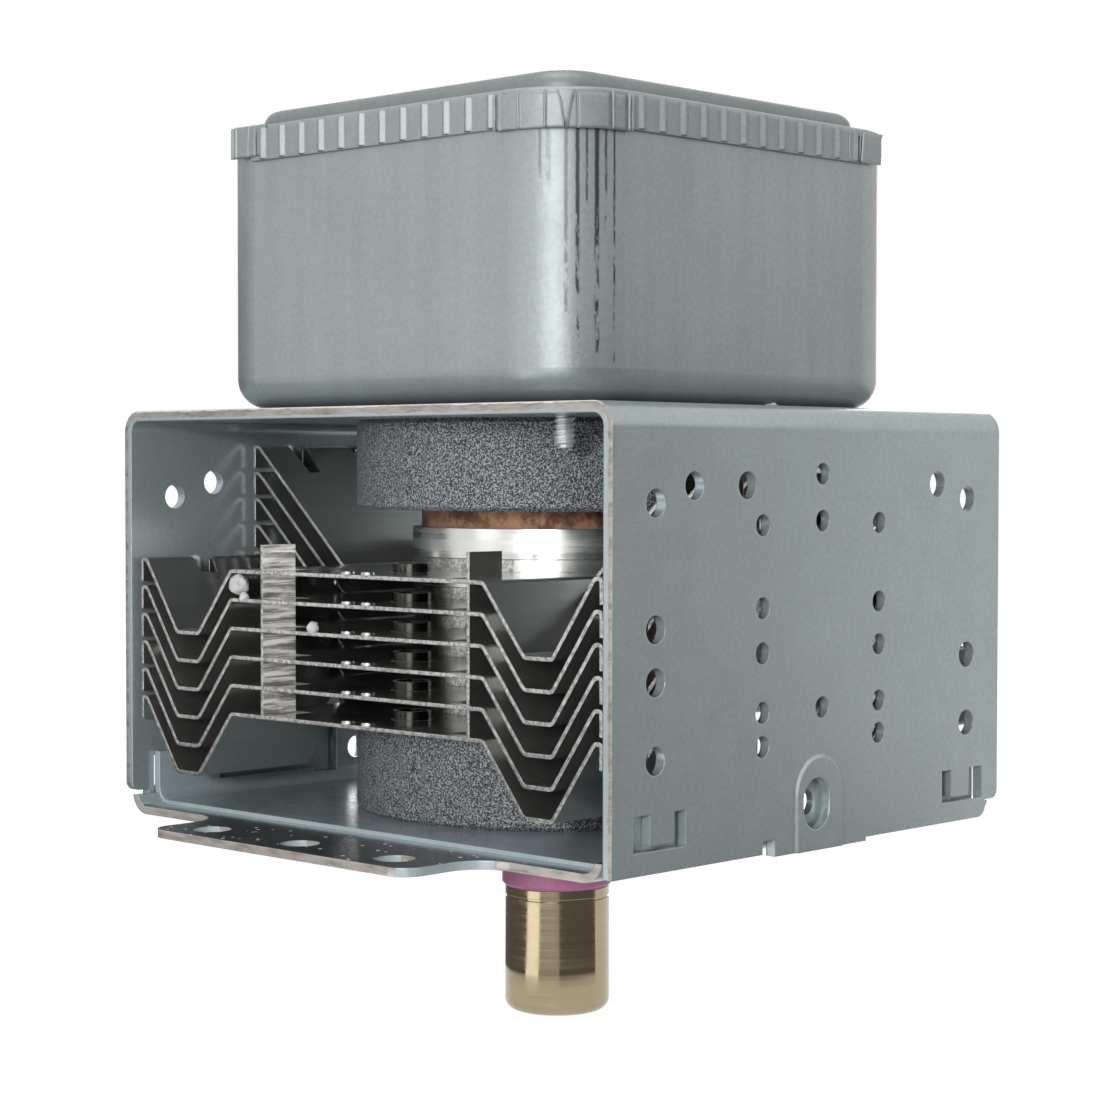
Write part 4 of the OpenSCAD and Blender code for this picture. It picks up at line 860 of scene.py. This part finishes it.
def burr_mesh(piece):
    """Torn sliver of foil at the foot of the box, highest at its front end."""
    lean, sheet, curl_out, steps = 0.4 * MM, 0.08 * MM, 0.3 * MM, 9
    draws = random.Random(piece.seed)
    base = Vector((piece.burr_x, piece.burr_y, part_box("box_shim")[1].z - piece.burr_sink))
    mesh = bmesh.new()
    rings = []
    for i in range(steps):
        t = i / (steps - 1)
        tall = piece.burr * (1.0 - 0.8 * t) * draws.uniform(0.85, 1.0)
        x, y = base.x + curl_out * math.sin(3.0 * t), base.y + piece.burr_long * t
        section = ((0.0, 0.0), (lean, tall), (lean + sheet, tall), (sheet, 0.0))
        rings.append([mesh.verts.new((x + out, y, base.z + rise)) for out, rise in section])
    bridge_rings(mesh, rings)
    bmesh.ops.recalc_face_normals(mesh, faces=mesh.faces)
    return mesh


# Flecks on the fins' front edge: name, X and Z in mm, share of the largest one's size
FLECKS = (
    ("left_fleck", -22.8, 32.5, 1.0),
    ("lower_fleck", -21.7, 30.9, 0.5),
    ("middle_fleck", -7.75, 27.4, 0.6),
)


class MAGNETRON_OT_traces(Operator):
    """Place the flecks stuck on the fins and the torn foil at the box"""
    bl_idname = "magnetron.traces"
    bl_label = "Flecks and foil"

    def execute(self, context):
        look, piece = settings().finish, settings().piece
        crumb = Finish("fleck", look.fleck, 0.0, 0.7)
        crumb.set("Base Color", crumb.shade(0.08, crumb.noise(900.0, 4.0)))
        edge_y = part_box("cooling_fin_1")[0].y
        for name, x, z, share in FLECKS:
            mesh = fleck_mesh(piece.fleck * share, len(name))
            mesh.transform(Matrix.Translation((x * MM, edge_y + piece.fleck_sink, z * MM)))
            add_piece(name, mesh, crumb)

        foil = Finish("torn_foil", look.torn_foil, 0.7, 0.3)
        foil.set("Base Color", foil.shade(0.06, foil.noise(700.0, 3.0)))
        add_piece("foil_burr", burr_mesh(piece), foil)
        return {"FINISHED"}


def round_at(azimuth, reach, z):
    """Point at an azimuth in degrees and a distance from the axis."""
    return (reach * math.cos(math.radians(azimuth)), reach * math.sin(math.radians(azimuth)), z)


def lamp(name, place, target, size, power):
    """Soft rectangular lamp that points at a target."""
    data = bpy.data.lights.new(name, "AREA")
    data.shape = "RECTANGLE"
    data.size, data.size_y = size
    data.energy = power
    obj = bpy.data.objects.new(name, data)
    obj.location = place
    obj.rotation_euler = (Vector(target) - Vector(place)).to_track_quat("-Z", "Y").to_euler()
    bpy.context.scene.collection.objects.link(obj)
    return obj


class MAGNETRON_OT_stage(Operator):
    """Set up the camera, the lamps, the white room and the floor"""
    bl_idname = "magnetron.stage"
    bl_label = "Stage"

    def execute(self, context):
        stage = settings().stage
        scene = context.scene
        scene.view_settings.view_transform = "Standard"
        self.camera(scene, stage)
        self.room(scene, stage)
        self.floor(stage)
        self.lamps(stage)
        self.cards(stage)
        return {"FINISHED"}

    def lamps(self, stage):
        """Four soft lamps: name, azimuth, distance from the axis, height, size and power."""
        made = {}
        for name, azimuth, reach, z, size, power in (
                ("key_lamp", -60.0, 0.80, 0.16, (0.38, 0.55), stage.key_power),
                ("flash_lamp", -61.0, 0.61, 0.115, (0.05, 0.05), stage.flash_power),
                ("top_lamp", -90.0, 0.15, 0.80, (0.6, 0.6), stage.top_power),
                ("rear_lamp", 128.0, 0.80, 0.22, (0.5, 0.5), stage.rear_power)):
            made[name] = lamp(name, round_at(azimuth, reach, z), stage.lamp_target, size, power)
        made["flash_lamp"].visible_glossy = False
        made["rear_lamp"].visible_camera = False

    def cards(self, stage):
        """Cards that the metal mirrors: name, first and last azimuth, outline and brightness."""
        low, reach = CAD_BOX[0][2] + stage.card_lift, stage.card_reach
        near, step, fold, far = [(r, low) for r in (stage.card_near, stage.card_step, stage.card_fold, reach)]
        top, lit_top = (reach, low + stage.card_high), (reach, low + stage.lit_high)
        for name, start, end, shape, light in (
                ("right_card", -42.0, 49.0, (step, far, top), stage.dark_card),
                ("right_floor_card", -42.0, 40.0, (near, step), stage.dark_card),
                ("left_card", -203.0, -143.0, (fold, far, top), stage.dark_card),
                ("left_floor_card", -203.0, -114.0, (near, fold), stage.dark_card),
                ("lit_card", -112.0, -94.0, (far, lit_top), stage.white_card),
                ("lit_floor_card", -112.0, -84.0, (near, fold), stage.white_card),
                ("front_floor_card", -84.0, -42.0, (near, fold), stage.grey_card)):
            self.card(name, start, end, shape, light)

    def card(self, name, start, end, shape, light):
        """Card bent round the object along a line of (reach, height), seen only in the metal's gloss."""
        steps = 24
        mesh = bmesh.new()
        columns = []
        for i in range(steps + 1):
            azimuth = start + (end - start) * i / steps
            columns.append([mesh.verts.new(round_at(azimuth, r, z)) for r, z in shape])
        for a, b in zip(columns, columns[1:]):
            for k in range(len(shape) - 1):
                mesh.faces.new((a[k], a[k + 1], b[k + 1], b[k]))
        obj = link_mesh(name, mesh)
        paint = Finish(name, (0.05, 0.05, 0.05), 0.0, 0.9)
        paint.set("Base Color", paint.shade(0.1, paint.noise(6.0)))
        paint.set("Emission Color", (1.0, 1.0, 1.0, 1.0))
        paint.set("Emission Strength", light)
        put_on(obj, paint)
        obj.visible_camera = False
        obj.visible_diffuse = False
        obj.visible_shadow = False

    def camera(self, scene, stage):
        """Camera at the photograph's place."""
        data = bpy.data.cameras.new("camera")
        data.sensor_width = 36.0
        data.lens = stage.lens
        data.clip_start = 0.01
        yaw, pitch, roll = stage.yaw, stage.pitch, stage.roll
        flat = math.cos(pitch)
        look = Vector((-math.sin(yaw) * flat, math.cos(yaw) * flat, -math.sin(pitch)))
        level = Vector((math.cos(yaw), math.sin(yaw), 0.0))
        upright = level.cross(look)
        right = level * math.cos(roll) + upright * math.sin(roll)
        up = upright * math.cos(roll) - level * math.sin(roll)
        turn = Matrix((right, up, -look)).transposed()
        obj = bpy.data.objects.new("camera", data)
        obj.matrix_world = Matrix.Translation(stage.camera_at) @ turn.to_4x4()
        scene.collection.objects.link(obj)
        scene.camera = obj

    def room(self, scene, stage):
        """White world, dimmer as a light than as it is seen."""
        world = bpy.data.worlds.new("room")
        scene.world = world
        world.use_nodes = True
        tree = world.node_tree
        back = tree.nodes["Background"]
        back.inputs["Color"].default_value = (1.0, 1.0, 1.0, 1.0)
        strength = tree.nodes.new("ShaderNodeMapRange")
        strength.inputs["To Min"].default_value = stage.room_light
        strength.inputs["To Max"].default_value = 1.0
        tree.links.new(seen_rays(tree), strength.inputs["Value"])
        tree.links.new(strength.outputs["Result"], back.inputs["Strength"])

    def floor(self, stage):
        """Pale floor that keeps shadows and glows white where it is seen."""
        half = stage.floor_half
        ground = CAD_BOX[0][2]
        mesh = bmesh.new()
        mesh.faces.new([mesh.verts.new((x * half, y * half, ground))
                        for x, y in ((-1, -1), (1, -1), (1, 1), (-1, 1))])
        obj = link_mesh("floor", mesh)
        finish = Finish("floor_paint", stage.floor_white, 0.0, 0.9)
        tree = finish.tree
        glow = tree.nodes.new("ShaderNodeEmission")
        glow.inputs["Strength"].default_value = stage.floor_glow
        blend = tree.nodes.new("ShaderNodeMixShader")
        seen = tree.nodes.new("ShaderNodeMath")
        seen.operation = "MULTIPLY"
        seen.inputs[1].default_value = stage.glow_share
        tree.links.new(seen_rays(tree), seen.inputs[0])
        tree.links.new(seen.outputs[0], blend.inputs[0])
        tree.links.new(finish.shader.outputs[0], blend.inputs[1])
        tree.links.new(glow.outputs[0], blend.inputs[2])
        tree.links.new(blend.outputs[0], tree.nodes["Material Output"].inputs["Surface"])
        put_on(obj, finish)


def seen_rays(tree):
    """1 for rays that show the background: from the camera, in gloss and through glass."""
    path = tree.nodes.new("ShaderNodeLightPath")
    total = path.outputs["Is Camera Ray"]
    for name in ("Is Glossy Ray", "Is Transmission Ray"):
        add = tree.nodes.new("ShaderNodeMath")
        add.operation = "MAXIMUM"
        tree.links.new(total, add.inputs[0])
        tree.links.new(path.outputs[name], add.inputs[1])
        total = add.outputs[0]
    return total


class MagnetronSettings(PropertyGroup):
    """All settings of the magnetron."""
    stage: PointerProperty(type=StageSettings, name="Stage", description="Camera, lamps and floor")
    finish: PointerProperty(type=FinishSettings, name="Finishes", description="Colours of the finishes")
    piece: PointerProperty(type=PieceSettings, name="Pieces", description="Sizes of small pieces and marks")


OPERATORS = (
    MAGNETRON_OT_stage, MAGNETRON_OT_yoke, MAGNETRON_OT_filter_box, MAGNETRON_OT_fins,
    MAGNETRON_OT_magnets, MAGNETRON_OT_tube, MAGNETRON_OT_antenna, MAGNETRON_OT_filter,
    MAGNETRON_OT_screws, MAGNETRON_OT_traces,
)


class MAGNETRON_PT_sidebar(Panel):
    """Steps that dress the magnetron"""
    bl_label = "Magnetron"
    bl_idname = "MAGNETRON_PT_sidebar"
    bl_space_type = "VIEW_3D"
    bl_region_type = "UI"
    bl_category = "Magnetron"

    def draw(self, context):
        for operator in OPERATORS:
            self.layout.operator(operator.bl_idname)


CLASSES = (
    StageSettings, FinishSettings, PieceSettings, MagnetronSettings, *OPERATORS, MAGNETRON_PT_sidebar,
)


def register():
    for cls in CLASSES:
        bpy.utils.register_class(cls)
    bpy.types.Scene.magnetron = PointerProperty(
        type=MagnetronSettings, name="Magnetron", description="Settings of the magnetron's looks")


def unregister():
    del bpy.types.Scene.magnetron
    for cls in reversed(CLASSES):
        bpy.utils.unregister_class(cls)


def main():
    register()
    bpy.ops.magnetron.stage()
    bpy.ops.magnetron.yoke()
    bpy.ops.magnetron.filter_box()
    bpy.ops.magnetron.fins()
    bpy.ops.magnetron.magnets()
    bpy.ops.magnetron.tube()
    bpy.ops.magnetron.antenna()
    bpy.ops.magnetron.filter()
    bpy.ops.magnetron.screws()
    bpy.ops.magnetron.traces()


if __name__ == "__main__":
    main()
